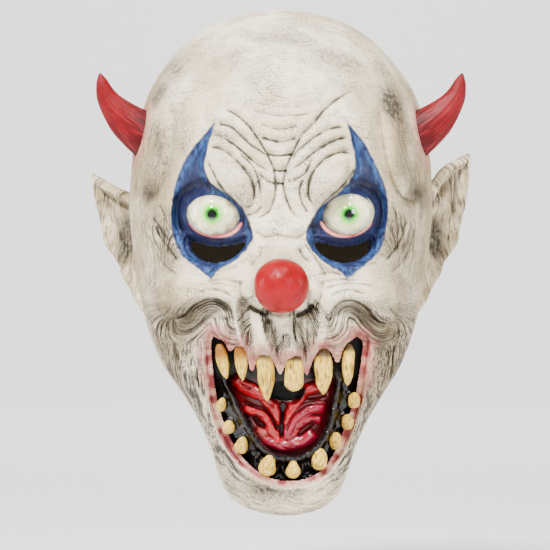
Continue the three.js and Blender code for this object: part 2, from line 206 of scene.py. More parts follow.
def off_segment(px, pz, a, b):
    """Where along the segment from a to b the nearest point is, 0 to 1, and the way from it to each place."""
    dx, dz = b - a
    u = clamp(((px - a[0]) * dx + (pz - a[1]) * dz) / (dx * dx + dz * dz + 1e-12))
    return u, px - a[0] - u * dx, pz - a[1] - u * dz


def line_distance(line, x, z, reach):
    """For points within reach of an open line: their indexes, distance, share along it and side."""
    near = near_to(line, x, z, reach)
    px, pz = x[near], z[near]
    best = np.full(len(near), 1e9)
    share = np.zeros(len(near))
    side = np.zeros(len(near))
    count = len(line) - 1
    for i, (a, b) in enumerate(zip(line, line[1:])):
        u, ex, ez = off_segment(px, pz, a, b)
        d = ex * ex + ez * ez
        closer = d < best
        best = np.where(closer, d, best)
        share = np.where(closer, (i + u) / count, share)
        dx, dz = b - a
        side = np.where(closer, np.sign(dx * ez - dz * ex), side)
    distance = np.sqrt(best)
    kept = distance < reach
    return near[kept], distance[kept], share[kept], side[kept]


def outline_distance(outline, x, z, reach=14.0):
    """Distance to a closed outline: negative inside, and never beyond reach."""
    out = np.full(x.shape, reach)
    near = near_to(outline, x, z, reach)
    px, pz = x[near], z[near]
    best = np.full(len(near), 1e9)
    inside = np.zeros(len(near), bool)
    for a, b in zip(outline, np.roll(outline, -1, 0)):
        _, ex, ez = off_segment(px, pz, a, b)
        best = np.minimum(best, ex**2 + ez**2)
        dx, dz = b - a
        crosses = (a[1] > pz) != (b[1] > pz)
        inside ^= crosses & (px < a[0] + (pz - a[1]) * dx / (dz if dz else 1e-12))
    distance = np.sqrt(best)
    out[near] = np.clip(np.where(inside, -distance, distance), -reach, reach)
    return out


# ---- The head's smooth outside, section by section ----

JAW_LEAN = 3.0
# Height, half width, front, back, widest point, and the power of the oval.
SECTIONS = np.array(
    [
        (19.4, 0, 4, 4, 4, 2.1),
        (14, 31, -30, 38, 4, 2.1),
        (5, 49, -54, 63, 5, 2.1),
        (-10, 65, -76, 87, 6, 2.1),
        (-30, 78, -93, 105, 6, 2.15),
        (-55, 85.5, -104, 115, 6, 2.2),
        (-80, 88.5, -109, 119, 5, 2.2),
        (-105, 88.5, -109, 117, 4, 2.2),
        (-130, 86, -111, 110, 0, 2.2),
        (-150, 82.5, -113, 102, -5, 2.25),
        (-170, 77, -115, 94, -10, 2.3),
        (-190, 68.5, -115, 86, -16, 2.45),
        (-205, 58, -113, 60, -24, 2.6),
        (-220, 48.5, -110, 30, -33, 2.7),
        (-235, 41.5, -107, 6, -41, 2.7),
        (-250, 36.5, -105, -10, -47, 2.6),
        (-262, 31, -100, -22, -52, 2.4),
        (-270, 20, -88, -34, -57, 2.2),
        (-273.6, 0, -62, -62, -62, 2.1),
    ]
)
CROWN, CHIN = SECTIONS[0, 0], SECTIONS[-1, 0]
HALF, FRONT, BACK, MIDDLE, POWER = 1, 2, 3, 4, 5

# Swellings and hollows: x, z, reach across, reach up, height outwards, and 1 for one on each side.
FORMS = [
    (30, -80, 22, 13, 5, 1),  # brow
    (38, -107, 19, 20, -7, 1),  # eye socket
    (50, -148, 22, 15, 7, 1),  # cheek
    (0, -134, 13, 22, 8, 0),  # nose
    (0, -168, 26, 11, 3, 0),  # upper lip
    (3, -262, 20, 9, 3, 0),  # chin
]


def along(z):
    return np.arccos(np.clip(2 * (z - CHIN) / (CROWN - CHIN) - 1, -1, 1)) / np.pi


def height_at(t):
    return CHIN + (CROWN - CHIN) * (1 + np.cos(np.pi * t)) / 2


def profile(column, t):
    """One column of SECTIONS at places between them, by cubic pieces."""
    at, value = along(SECTIONS[:, 0]), SECTIONS[:, column]
    last = len(at) - 1
    index = np.arange(last + 1)
    low, high = np.maximum(index - 1, 0), np.minimum(index + 1, last)
    slope = (value[high] - value[low]) / (at[high] - at[low])
    j = np.clip(np.searchsorted(at, t, side="right"), 1, last)
    i = j - 1
    step = at[j] - at[i]
    u = clamp((t - at[i]) / step)
    return (
        value[i] * (1 + 2 * u) * (1 - u) ** 2
        + slope[i] * step * u * (1 - u) ** 2
        + value[j] * u * u * (3 - 2 * u)
        - slope[j] * step * u * u * (1 - u)
    )


def lean(z):
    return JAW_LEAN * ease((-150 - z) / 60)


def forms_at(x, z):
    out = 0.0
    for fx, fz, wide, high, rise, both in FORMS:
        for side in (-1, 1) if both else (1,):
            out = out + rise * np.exp(-(((x - side * fx) / wide) ** 2) - ((z - fz) / high) ** 2)
    return out


def facing(turn):
    return ease(np.cos(turn) * 1.6)


def outside(turn, t):
    """Points on the outside: turn 0 is the face and a quarter turn is +X. t runs from crown to chin."""
    z = height_at(t)
    half, front, back, middle, power = (profile(k, t) for k in (HALF, FRONT, BACK, MIDDLE, POWER))
    s, c = np.sin(turn), np.cos(turn)
    reach = (np.abs(s) ** power + np.abs(c) ** power) ** (-1 / power)
    depth = np.where(c > 0, middle - front, back - middle)
    x = s * reach * half + facing(turn) * lean(z)
    y = middle - c * reach * depth - facing(turn) * forms_at(x, z)
    return np.stack(np.broadcast_arrays(x, y, z), -1)


def front_at(x, z):
    """The depth of the outside's front at places in front view."""
    t = along(z)
    share = np.minimum(np.abs((x - lean(z)) / profile(HALF, t)), 1)
    power = profile(POWER, t)
    depth = (profile(MIDDLE, t) - profile(FRONT, t)) * (1 - share**power) ** (1 / power)
    return profile(MIDDLE, t) - depth - forms_at(x, z)


# ---- The face's features in front view ----

EYES = [
    {"side": -1, "at": (-37.5, -103.4), "reach": (13.9, 9.9), "tilt": -12, "iris": (-38.5, -103.2)},
    {"side": 1, "at": (36.8, -102.9), "reach": (13.3, 10.4), "tilt": 12, "iris": (37.8, -103.2)},
]
EYE_RADIUS = 17.0
DOME_AT = (36.5, -86.0, -103.5)  # middle of the right eye's ball
NOSE_RADIUS = 15.4
NOSE_AT = (0.0, -128.0, -143.0)
NOSE_BACK = -116.2  # the ball is cut flat there

# Painted patches round the eyes; a point given twice is a sharp tip.
PATCHES = [
    [(-37, -51.5), (-37, -51.5), (-49, -65.3), (-57.5, -79.9), (-61.5, -95), (-61.9, -109.2), (-57, -124.3),
     (-47.2, -133.2), (-40.6, -138.1), (-39.1, -140.5), (-39.1, -140.5), (-35.2, -134.6), (-25, -128.8),
     (-16.1, -118.1), (-16.6, -110.1), (-22.4, -98.6), (-31.2, -91), (-38.4, -86.1), (-42.4, -78.1),
     (-41.5, -68.4)],
    [(36.7, -51.5), (36.7, -51.5), (46.9, -63.9), (54.9, -79), (59.8, -93.2), (59.8, -108.3), (55.8, -122.6),
     (46.9, -131.4), (38.1, -138.1), (37, -139.9), (37, -139.9), (32.7, -135.4), (22.9, -129.7),
     (14.5, -119.9), (14.1, -111.9), (21.2, -99.5), (30.1, -92.4), (37.6, -84.8), (41.2, -74.6),
     (39.4, -63.9)],
]  # fmt: skip
SLOTS = [
    [(-52.5, -116), (-46.4, -117.2), (-37.5, -119), (-28.6, -118.4), (-19.7, -116.8), (-18.3, -118.9),
     (-20.5, -123.8), (-28, -129.2), (-37.5, -131), (-46, -129.2), (-51.6, -124.6), (-53.6, -119.6)],
    [(17.2, -117.2), (24.7, -117.6), (33.6, -119), (42.5, -118), (49.8, -115.6), (52, -118.6),
     (50.8, -124.4), (45.4, -129), (37, -131), (28.4, -130), (21.4, -126.2), (17.3, -120.6)],
]  # fmt: skip

# The lips: tips hang between the teeth, and the edge arches up between one tip and the next.
LIP_TIPS = [(-28.7, -178.6), (-16.4, -189.4), (-0.6, -191.4), (14.2, -191.6), (31.6, -184.6)]
LIP_PEAKS = [(-35, -171.5), (-24, -175.4), (-9.8, -180.2), (7.3, -182), (23.7, -176.4), (38, -173.4)]
LIP_SIDES = [
    (43.1, -169.8), (47.6, -173.6), (47.6, -181.3), (45.7, -194), (43.6, -206.8), (39.4, -220), (33.5, -235),
    (25, -246.5), (14, -251.6), (2, -252.4), (-9.3, -250.2), (-19, -244.4), (-27.2, -236), (-33.4, -225),
    (-37.6, -212), (-39.6, -200), (-41, -184), (-41.2, -174.5), (-38.6, -169.6),
]  # fmt: skip


def mouth_outline():
    points = []
    for i, (px, pz) in enumerate(LIP_PEAKS):
        left = LIP_TIPS[i - 1] if i > 0 else None
        right = LIP_TIPS[i] if i < len(LIP_TIPS) else None
        for u in np.linspace(-1, 1, 13)[:-1]:
            tip = left if u < 0 else right
            if tip is None:
                continue
            points.append((px + (tip[0] - px) * abs(u) ** 0.8, pz + (tip[1] - pz) * abs(u) ** 1.7))
    return np.array(points + [tuple(p) for p in smooth_line(LIP_SIDES)])


# Folds that are both a crease and a ledge.
CHEEK_FOLDS = [
    [(-54.5, -159.6), (-48, -153.4), (-39.9, -150.1), (-32.9, -151.5), (-28.1, -155.7), (-26, -163)],
    [(51.6, -160.5), (47.4, -155), (40.5, -151.3), (33.6, -151.7), (28.7, -156.4), (26.4, -164)],
]
BROW_FOLDS = [
    [(-37.5, -80.8), (-34.8, -86.1), (-30.4, -91.5), (-23.6, -98.2)],
    [(41.2, -77.3), (37.2, -83.5), (32.7, -88.8), (27.4, -93.2), (21.8, -98.2)],
]
TEMPLE_FOLD = [(55.1, -40), (56.5, -57.3), (59.2, -72.5), (63.4, -85), (69.6, -93.3), (78.5, -95)]
BRIDGE_FOLD = [(-15.3, -111.9), (-9, -115.9), (-2.8, -114.8), (3.4, -115.9), (10, -115.6), (14.5, -112.4)]
# Creases: points, width, depth, and how much dark wash lies in them.
CREASES = [
    ([(-16.3, -44.8), (-8, -47), (-1.1, -48.3), (9, -48), (18.3, -46.6)], 0.8, 0.5, 0.6),
    ([(-8, -34.4), (3.1, -38.5), (15.6, -35.8)], 0.7, 0.3, 0.45),
    ([(-24, -36), (-16, -40), (-4, -43), (8, -43.2), (20, -40)], 0.7, 0.3, 0.35),
    ([(-11.7, -52.8), (-1.9, -55.9), (9.6, -54.2)], 0.8, 0.8, 0.8),
    ([(-11.7, -60.4), (-5.5, -62.1), (0.7, -63), (9.2, -60.4)], 0.9, 0.9, 1),
    ([(-8.6, -69.7), (-1.9, -70.9), (6.5, -69.7)], 0.9, 1, 1),
    ([(-4.8, -78.7), (-0.5, -79.5), (3.4, -78.8)], 0.9, 1, 1),
    ([(-3, -86), (1.8, -86.6)], 0.9, 0.8, 1),
    ([(-34, -43.4), (-26, -47), (-19.7, -52.4), (-15.3, -57.7), (-10.8, -64.8), (-7.3, -71), (-4.6, -77.3),
      (-3.3, -84.4), (-3.3, -90.6), (-4.6, -96.8), (-8.1, -103), (-16.1, -106.6)], 0.9, 1.2, 1),
    ([(-36.1, -52.4), (-28.6, -54.2), (-23.2, -58.6), (-17.9, -63.9), (-12.6, -67.5), (-7.7, -71)],
     0.9, 1.1, 1),
    ([(-38.8, -59), (-33.9, -59.5), (-28.6, -63), (-23.2, -67), (-17.9, -71.9), (-12.6, -76.4),
      (-5.5, -79.5)], 0.9, 1.2, 1),
    ([(-23, -69.6), (-16.1, -76.4), (-13.5, -81.7), (-11.9, -87.9), (-12, -93.6)], 0.9, 1, 0.9),
    ([(-12.6, -80.8), (-7.3, -85.2), (-2.8, -86.6)], 0.8, 0.9, 0.9),
    ([(-40.6, -66.1), (-35.7, -66.1), (-30.4, -68.8), (-25, -73.3), (-20.6, -78.1), (-17, -83.5),
      (-15.3, -88.8), (-15.3, -94.1), (-17.9, -98)], 1, 1.6, 1),
    ([(-41, -73.7)] + BROW_FOLDS[0], 0.9, 1.2, 1),
    ([(-22.4, -99.4), (-18, -99), (-14.6, -96.4)], 0.8, 0.7, 0.6),
    ([(-19.7, -103.9), (-14.4, -102.4), (-10.8, -98.6)], 0.8, 0.8, 0.7),
    ([(43, -31.6), (32.2, -37.9), (24, -45), (17, -53.6), (11, -59.6), (7, -68), (4.3, -73.7), (2.5, -79),
      (1.2, -86.1), (2.1, -92.4), (4.3, -98.6), (7.8, -103.9), (14.1, -107.5)], 0.9, 1.2, 1),
    ([(35.8, -54.4), (29.2, -55), (21.2, -58.6), (14.1, -63.9), (8.7, -68.4), (5.2, -73.7)], 0.9, 1.1, 1),
    ([(38.5, -60.4), (31.8, -61.3), (22.9, -65.7), (15.8, -71), (9.6, -76.4), (3.4, -79)], 0.9, 1.2, 1),
    ([(17, -71.6), (14.1, -79), (10.5, -82.6), (2.5, -86.1)], 0.8, 0.9, 0.9),
    ([(40.7, -69.7), (33.6, -68.8), (26.5, -71), (21.2, -75.5), (16.7, -81.7), (15, -88.8), (15.8, -95),
      (19.4, -99.6)], 1, 1.6, 1),
    (BROW_FOLDS[1], 0.9, 1.2, 1),
    ([(12.3, -83.5), (10.1, -89.7), (11.4, -96.8), (15, -102.6)], 0.8, 1, 0.9),
    (BRIDGE_FOLD, 1, 0.9, 0.4),
    ([(-10.8, -120.8), (-11.7, -126.1), (-17.4, -132.3)], 0.9, 0.8, 0.6),
    ([(9.6, -121.7), (12.3, -127), (16.7, -130.6)], 0.9, 0.8, 0.7),
    ([(12.8, -119.6), (18, -126.4), (22, -132.3), (24.7, -138)], 0.8, 0.7, 0.7),
    ([(-46.4, -146.5), (-39.2, -144.8), (-32.1, -146.1), (-26.8, -149.2)], 1, 0.9, 0.6),
    ([(27, -148.6), (33, -145.8), (40, -145.4), (47, -147.6)], 1, 0.9, 0.6),
    ([(-24, -141), (-32, -139.5), (-42, -140.5)], 0.8, 0.6, 0.5),
    ([(-23, -144.5), (-31, -142), (-40, -141.8), (-50, -143)], 0.8, 0.6, 0.5),
    ([(24, -141), (32, -139.5), (42, -140)], 0.8, 0.6, 0.6),
    ([(23, -145), (31, -142.3), (40, -141.5), (52, -143)], 0.8, 0.6, 0.6),
    ([(20, -137), (27, -135.5), (34, -136.8)], 0.8, 0.5, 0.6),
    ([(-73, -103.9), (-67.7, -111), (-63.2, -118.1)], 0.9, 0.8, 0.7),
    ([(-72.1, -108.3), (-67.7, -116.3), (-62.3, -123.4), (-57.4, -129.4)], 0.9, 0.8, 0.8),
    ([(-69, -97), (-66, -103), (-64, -109)], 0.8, 0.6, 0.6),
    ([(-75.5, -114), (-71, -124), (-65, -132), (-58, -137)], 0.9, 0.6, 0.5),
    ([(63, -98), (66, -106), (66.4, -114)], 0.8, 0.7, 0.7),
    ([(71, -104), (69, -114), (63.8, -123), (58, -130)], 0.9, 0.8, 0.7),
    ([(75.6, -108), (74, -119), (69, -129), (61, -136)], 0.9, 0.6, 0.5),
    ([(-60, -42), (-61.4, -61.4), (-64.8, -78), (-69.7, -89.1), (-76.6, -93.3)], 2.2, 1.6, 0.22),
    (TEMPLE_FOLD, 1.5, 1.2, 0.35),
    ([(-64, -162), (-60, -161.4)] + CHEEK_FOLDS[0], 1.1, 1.0, 0.7),
    ([(62, -163.6), (57, -163.6)] + CHEEK_FOLDS[1], 1.1, 1.0, 0.7),
    ([(-18, -153.6), (-15, -156), (-11.6, -158), (-8, -159.4)], 1.35, 2.8, 1.4),
    ([(18, -153.2), (15.4, -156), (11.6, -158.3), (7.6, -160)], 1.35, 2.8, 1.4),
    ([(-22.6, -140), (-22.8, -146), (-20.8, -151.6)], 1.1, 1.4, 0.5),
    ([(22.6, -140), (22.8, -146), (20.8, -151.6)], 1.1, 1.4, 0.5),
    ([(-17.5, -149), (-21, -153.6), (-21.2, -162), (-18.6, -172), (-16.8, -186)], 1.3, 2.4, 0.35),
    ([(-30.6, -160), (-28, -168), (-28.6, -176)], 1.2, 2.2, 0.35),
    ([(-7.4, -160.5), (-4, -172), (-0.9, -188)], 1.3, 2.4, 0.35),
    ([(8.4, -161.5), (12, -172), (13.9, -188)], 1.3, 2.4, 0.35),
    ([(17.6, -149), (22.4, -156), (28, -168), (31, -181)], 1.3, 2.4, 0.35),
]  # fmt: skip

# Raised rolls: points, width and height.
ROLLS = [
    ([(-13.5, -154), (-8, -158.8), (0, -161.2), (8, -158.8), (13.5, -154)], 1.5, 1.4),
    ([(-23.6, -152), (-24.4, -162), (-24.2, -171)], 4.2, 2.2),
    ([(-11.6, -162), (-10.4, -170), (-9.9, -177)], 4.2, 2.4),
    ([(10.5, -168), (8.6, -174), (7.4, -179)], 3.6, 1.6),
    ([(3.4, -161), (2.6, -172), (4, -180)], 3.0, 0.9),
    ([(22, -158), (23, -166), (23.6, -173)], 4.2, 2.4),
    ([(36.6, -158), (37.8, -164), (38, -169)], 4.0, 1.2),
    ([(-35.2, -158), (-35.6, -164), (-35, -168)], 4.0, 1.2),
    ([(60, -52), (64.5, -66), (69.5, -80), (76, -90)], 6.0, 2.4),
    ([(-65, -60), (-69, -74), (-74, -86)], 6.0, 1.6),
]

# Soft swellings and hollows: x, z, reach across, reach up, height outwards.
SWELLINGS = [
    (-58, -146, 14, 12, 7.5),
    (58, -147, 14, 13, 7.5),
    (-39, -161, 8, 7.5, -2.5),
    (40, -162, 8, 7.5, -2.5),
    (-41, -168, 5, 4, 1.5),
    (45, -167, 5, 4, 1.5),
    (-17.5, -147.5, 4.2, 7, 5),
    (17.5, -147.5, 4.2, 7, 5),
    (0, -112, 10, 11, 3.2),
    (0, -124, 9, 10, 2.6),
    (-78, -91, 6, 5, -3),
    (75, -92, 6, 5, -2.6),
    (-33, -128, 14, 8, 1.5),
    (33, -128, 14, 8, 1.5),
]
CHEEK_DROPS = (1.0, 2.5, 4.5, 7.0, 7.5, 5.0, 2.0)
BROW_DROPS = (0.4, 1.4, 1.8, 1.6, 0.8)
# Folds with one side proud: points, which side that is, drop at places along them, and reach of the hollow.
LEDGES = [
    ([(-74.5, -139), (-73, -149), (-69, -158), (-61.5, -161.6)] + CHEEK_FOLDS[0], 1, CHEEK_DROPS, 8.0),
    ([(75, -139), (73.4, -150), (67.5, -160.5), (58.5, -164.4)] + CHEEK_FOLDS[1], -1, CHEEK_DROPS, 8.0),
    (TEMPLE_FOLD, 1, (0.3, 1.2, 1.8, 2.2, 2.6, 1.5), 6.0),
    ([(-41, -74)] + BROW_FOLDS[0] + [(-19.4, -101)], 1, BROW_DROPS, 4.0),
    (BROW_FOLDS[1] + [(18, -101)], -1, BROW_DROPS, 4.0),
    (BRIDGE_FOLD, 1, (0.3, 1.2, 1.0, 1.2, 0.3), 5.0),
]
CHEEK_LEDGES = LEDGES[:2]  # left, then right
# Dark striped grooves between the ridges that run down to the upper teeth: points and half width.
MUZZLE_GROOVES = [
    ([(-20, -148), (-21.4, -156), (-20, -166), (-16.8, -187)], 3.6),
    ([(-31.5, -156), (-29.6, -166), (-28.8, -177)], 3.2),
    ([(-8.6, -158), (-5.6, -170), (-0.8, -189)], 3.4),
    ([(8, -160), (10.5, -172), (13.8, -189)], 4.0),
    ([(3, -172), (0.4, -180), (-0.6, -188)], 2.6),
    ([(17.6, -152), (17.2, -164), (15, -182)], 3.4),
    ([(27.4, -160), (29.6, -172), (31.2, -182)], 3.0),
]
# The bulging brows: middle, half length, half width and turn in degrees.
BROWS = [((-28.6, -82.6), 18.5, 9.2, -54), ((28.6, -84.4), 18.5, 9.6, 54)]


def eye_distance(eye, x, z):
    """Roughly the distance to an eye's opening: negative inside."""
    wide, high = eye["reach"]
    u, v = turned(x, z, eye["at"], eye["tilt"])
    radius = np.sqrt((u / wide) ** 2 + (v / high) ** 2) + 1e-9
    slope = np.sqrt((u / wide**2) ** 2 + (v / high**2) ** 2) / radius + 1e-9
    return (radius - 1) / slope * np.minimum(1, radius)


MOUTH = mouth_outline()
PATCH_LINES = [smooth_line(points, closed=True) for points in PATCHES]
SLOT_LINES = [smooth_line(points, closed=True) for points in SLOTS]


# ---- Head grid ----

FACE_STEP, NAPE_STEP, SIDE_STEP = 0.62, 1.7, 3.4  # spacing of the skin's points
FACE_HALF, NAPE_HALF = 84.0, 58.0
SKIN_THICK = 2.6
SLIT_TOP, SLIT_REACH, SLIT_LOW = -125.0, 50.0, -190.0
SLIT_HALF = 0.8
RELIEF = 3.4  # radius of the round end of the slit
RIM = [(150, -190), (80, -190), (25, -188), (-10, -194), (-31, -212), (-42, -236), (-55, -262), (-59, -290)]


def spaced(length, spacing):
    """Places along a line whose points stand spacing apart, where spacing changes along it."""
    count = np.concatenate([[0], np.cumsum(np.diff(length) / spacing[:-1])])
    wanted = np.linspace(0, count[-1], int(round(count[-1])) + 1)
    return np.interp(wanted, count, np.arange(len(length)))


def grid_lines():
    """Turns and heights of the head's grid: close together on the face, further apart behind."""
    turn = np.linspace(-np.pi, np.pi, 4001)
    ring = outside(turn, along(-130.0))
    across, back = np.abs(ring[:, 0]), ring[:, 1] > 0
    face = ramp(FACE_HALF + 12, FACE_HALF, across) * ~back
    nape = ramp(NAPE_HALF + 12, NAPE_HALF, across) * back
    spacing = SIDE_STEP + (FACE_STEP - SIDE_STEP) * face + (NAPE_STEP - SIDE_STEP) * nape
    turns = np.interp(spaced(lengths_along(ring), spacing), np.arange(len(turn)), turn)[:-1]
    t = np.linspace(0, 1, 3001)
    meridian = outside(np.zeros_like(t), t)
    spacing = FACE_STEP + 1.6 * ramp(-34, -14, meridian[:, 2])
    heights = np.interp(spaced(lengths_along(meridian), spacing), np.arange(len(t)), t)[1:-1]
    return turns, heights


def side_edge_distance(y, z):
    """Distance to the open edge in side view: positive on the mask's side."""
    edge = smooth_line([(a, b) for a, b in RIM], step=4)
    outline = np.concatenate([edge, [(150, -290)]])
    return outline_distance(outline, y, z, reach=8)


def kept_distance(p):
    """Positive where there is skin, negative in its openings."""
    x, y, z = p[..., 0], p[..., 1], p[..., 2]
    front = y < -40
    flat = [v.ravel() for v in (x, z)]
    holes = [outline_distance(MOUTH, *flat, reach=6)]
    holes += [outline_distance(line, *flat, reach=6) for line in SLOT_LINES]
    holes += [np.clip(eye_distance(eye, *flat), -6, 6) for eye in EYES]
    face = np.minimum.reduce(holes).reshape(x.shape)
    keep = np.where(front, face, 6.0)
    slit = np.where(z < SLIT_TOP, np.abs(x) - SLIT_HALF, np.hypot(x, z - SLIT_TOP))
    slit = np.minimum(slit, np.hypot(x, z - SLIT_TOP) - RELIEF)
    keep = np.minimum(keep, np.where(y > 20, slit, 6.0))
    return np.minimum(keep, side_edge_distance(y.ravel(), z.ravel()).reshape(x.shape))


def fold_distance(p):
    """Positive above the nape flaps' fold lines, negative on the flaps."""
    x, y, z = p[..., 0], p[..., 1], p[..., 2]
    run, drop = SLIT_REACH, SLIT_TOP - SLIT_LOW
    distance = (np.abs(x) * drop + (z - SLIT_TOP) * run) / math.hypot(run, drop)
    return np.where(y > 20, distance, 8.0)


def snapped(rows, columns, turns, heights, distance):
    """Moves the grid's points that are within half a cell of distance's zero on to it."""
    f = distance(outside(turns_at(columns, turns), np.interp(rows, np.arange(len(heights)), heights)))
    by_row = np.gradient(f, axis=0)
    by_column = (np.roll(f, -1, 1) - np.roll(f, 1, 1)) / 2
    steep = by_row**2 + by_column**2 + 1e-12
    move_row, move_column = -f * by_row / steep, -f * by_column / steep
    close = (np.maximum(np.abs(move_row), np.abs(move_column)) < 0.56) & (steep > 1e-4)
    rows = np.where(close, np.clip(rows + move_row, 0, len(heights) - 1), rows)
    return rows, np.where(close, columns + move_column, columns), close


def turns_at(columns, turns):
    """The turn at a fractional column, going on past either end of the ring."""
    count = len(turns)
    ring = np.concatenate([turns[-2:] - 2 * np.pi, turns, turns[:2] + 2 * np.pi])
    return np.interp(columns, np.arange(-2, count + 2), ring)


def head_grid():
    """The grid's base points with their outward normals, and which side of each cut they lie."""
    turns, heights = grid_lines()
    shape = (len(heights), len(turns))
    rows, columns = (a.astype(float) for a in np.indices(shape))
    rows, columns, on_fold = snapped(rows, columns, turns, heights, fold_distance)
    rows, columns, on_edge = snapped(rows, columns, turns, heights, kept_distance)
    turn = turns_at(columns, turns)
    t = np.interp(rows, np.arange(len(heights)), heights)
    p = outside(turn, t)
    keep = np.where(on_edge, 0.0, np.sign(kept_distance(p)))
    fold = np.where(on_fold, 0.0, np.sign(fold_distance(p)))
    step = 2e-4
    down = outside(turn, np.minimum(t + step, 1)) - outside(turn, np.maximum(t - step, 0))
    round_it = outside(turn + step, t) - outside(turn - step, t)
    normal = np.cross(down, round_it)
    normal /= np.linalg.norm(normal, axis=-1, keepdims=True) + 1e-12
    return p, normal, turn, keep, fold


# ---- Sculpting the skin ----


def striations(x, z):
    """Fine streaks of the skin: a phase whose level lines the streaks follow, and how strongly they show."""
    wander = 2.2 * noise(3, x / 9, z / 14) + 0.8 * noise(4, x / 4, z / 6)
    mouth = outline_distance(MOUTH, x, z, reach=60)
    phase = mouth + wander
    fan = np.arctan2(x - 1, np.maximum(-(z + 122), 4.0)) * 62 + 1.8 * wander
    muzzle = ramp(31, 26, np.abs(x)) * ramp(-148, -155, z) * ramp(-200, -192, z)
    phase = phase * (1 - muzzle) + fan * muzzle
    grooves = np.zeros_like(x)
    for points, width in MUZZLE_GROOVES:
        at, d, _, _ = line_distance(smooth_line(points), x, z, 3 * width)
        grooves[at] = np.maximum(grooves[at], bell(np.maximum(d - 0.45 * width, 0), 0.45 * width))
    weight = ramp(-146, -166, z) * ramp(1.5, 4, mouth) * (1 - muzzle)
    weight = weight + 1.5 * grooves * muzzle * (0.2 + 0.8 * ramp(1, 7, mouth))
    for side, (points, proud, *_) in zip((-1, 1), CHEEK_LEDGES):
        at, d, share, off = line_distance(smooth_line(points), x, z, 24)
        below = (off * proud < 0) * ramp(0.3, 0.5, share) * ramp(16, 11, d) * (np.abs(x[at]) > 22)
        phase[at] = phase[at] * (1 - below) + (1.3 * d + 0.2 * wander[at]) * below
        weight[at] = np.maximum(weight[at] * (1 - below), 0.62 * below)
        temple = ramp(58, 68, side * x) * ramp(-44, -54, z) * ramp(-166, -140, z)
        phase = phase * (1 - temple) + (np.abs(x) + 0.16 * np.abs(z + 110) + wander) * temple
        weight = np.maximum(weight, 0.24 * temple)
        crow = bell(np.hypot((x - side * 67) / 11, (z + 117) / 17), 1)
        weight = np.maximum(weight, 0.7 * crow)
    weight = weight * (1 - 0.7 * ramp(-244, -256, z))
    return phase, clamp(weight)


def sculpt(x, z, shown):
    """Heights and paint of the face's features at front-view places. shown is 1 on the face and 0 behind."""
    height = np.zeros_like(x)
    dirt_and_shade = np.zeros_like(x)
    for sx, sz, wide, high, rise in SWELLINGS:
        height += rise * np.exp(-(((x - sx) / wide) ** 2) - ((z - sz) / high) ** 2)
    temple = bell(np.hypot((np.abs(x) - 76) / 5, (z + 92) / 4), 1)
    dirt_and_shade += 0.8 * temple * (0.7 + 0.4 * noise(5, x / 3, z / 3))
    for middle, long_half, short_half, tilt in BROWS:
        u, v = turned(x, z, middle, tilt)
        height += 6.0 * np.sqrt(clamp(1 - (u / long_half) ** 2 - (v / short_half) ** 2))
    for points, width, rise in ROLLS:
        at, d, share, _ = line_distance(smooth_line(points), x, z, 3 * width)
        height[at] += rise * bell(d, width) * ramp(0, 0.2, share) * (0.6 + 0.4 * ramp(1, 0.85, share))
    for points, proud, drops, reach in LEDGES:
        at, d, share, side = line_distance(smooth_line(points), x, z, 2.4 * reach)
        drop = np.interp(share, np.linspace(0, 1, len(drops)), drops)
        side = side * proud
        below = ramp(-1.0, 1.6, -side * d) * bell(np.where(side < 0, d, 0), reach)
        above = 0.5 * bell(d - 0.35 * reach, 0.7 * reach) * (side > 0)
        ends = ramp(0, 0.1, share) * ramp(1, 0.9, share)
        height[at] += drop * ends * (above - below)
        # A band of painted shadow below each ledge, in the hollow that its overhang shades.
        dirt_and_shade[at] += 0.03 * drop * ends * bell(d - 0.8, 1.6) * (side < 0)
    wobble = 0.35 * noise(6, x / 3, z / 3)
    for points, width, depth, dark in CREASES:
        at, d, share, _ = line_distance(smooth_line(points), x, z, 7 * width)
        d = np.abs(d + wobble[at] * min(width, 1.2))
        taper = ramp(0, 0.12, share) * ramp(1, 0.88, share)
        broken = 0.9 + 0.3 * noise(8, x[at] / 2.6, z[at] / 2.6)
        height[at] -= taper * (0.8 * depth * bell(d, width) + 1.1 * depth * bell(d, 3 * width))
        height[at] += 0.5 * taper * depth * bell(d - 4.4 * width, 2.4 * width)
        dirt_and_shade[at] += taper * dark * (1.35 * broken * bell(d, 0.62 * width) + 0.13 * bell(d, 2.6 * width))
    # The painted patches lie sunk, with a lid rolled round each eye and slot.
    patch = np.minimum(*[outline_distance(line, x, z) for line in PATCH_LINES])
    inside_patch = ramp(0.3, -4, patch)
    height -= 1.9 * inside_patch
    height += 0.5 * bell(patch - 0.4, 1.1)
    for eye in EYES:
        d = eye_distance(eye, x, z)
        height += 1.5 * bell(d - 2.4, 2.2)
        height -= 2.6 * bell(d - 8.2, 2.6) * inside_patch
    for line in SLOT_LINES:
        d = outline_distance(line, x, z)
        height += 0.9 * bell(d - 2.2, 1.5)
        height -= 1.4 * ramp(1.6, 0, d)
    # The lip is a roll that turns in at the mouth's edge.
    mouth = outline_distance(MOUTH, x, z, reach=30)
    height += 2.2 * bell(mouth - 3.2, 2.6) * (0.55 + 0.45 * ramp(-200, -186, z))
    height -= 2.6 * ramp(1.9, 0, mouth)
    phase, streak = striations(x, z)
    folds = 0.6 * noise(11, phase / 1.5, z / 24, x / 50) + 0.4 * noise(12, phase / 0.9, z / 13, x / 30)
    height += 1.3 * streak * folds * ramp(1.0, 3, mouth)
    dark = ramp(-0.05, -0.45, folds)
    muzzle = ramp(30, 22, np.abs(x)) * ramp(-150, -160, z)
    patchy = 0.85 + 0.5 * noise(13, x / 9, z / 9)
    dirt_and_shade += streak * (dark * (0.6 + 0.3 * muzzle) * patchy + 0.25 * muzzle)
    return height * shown, dirt_and_shade * shown, patch, mouth, phase, streak * shown


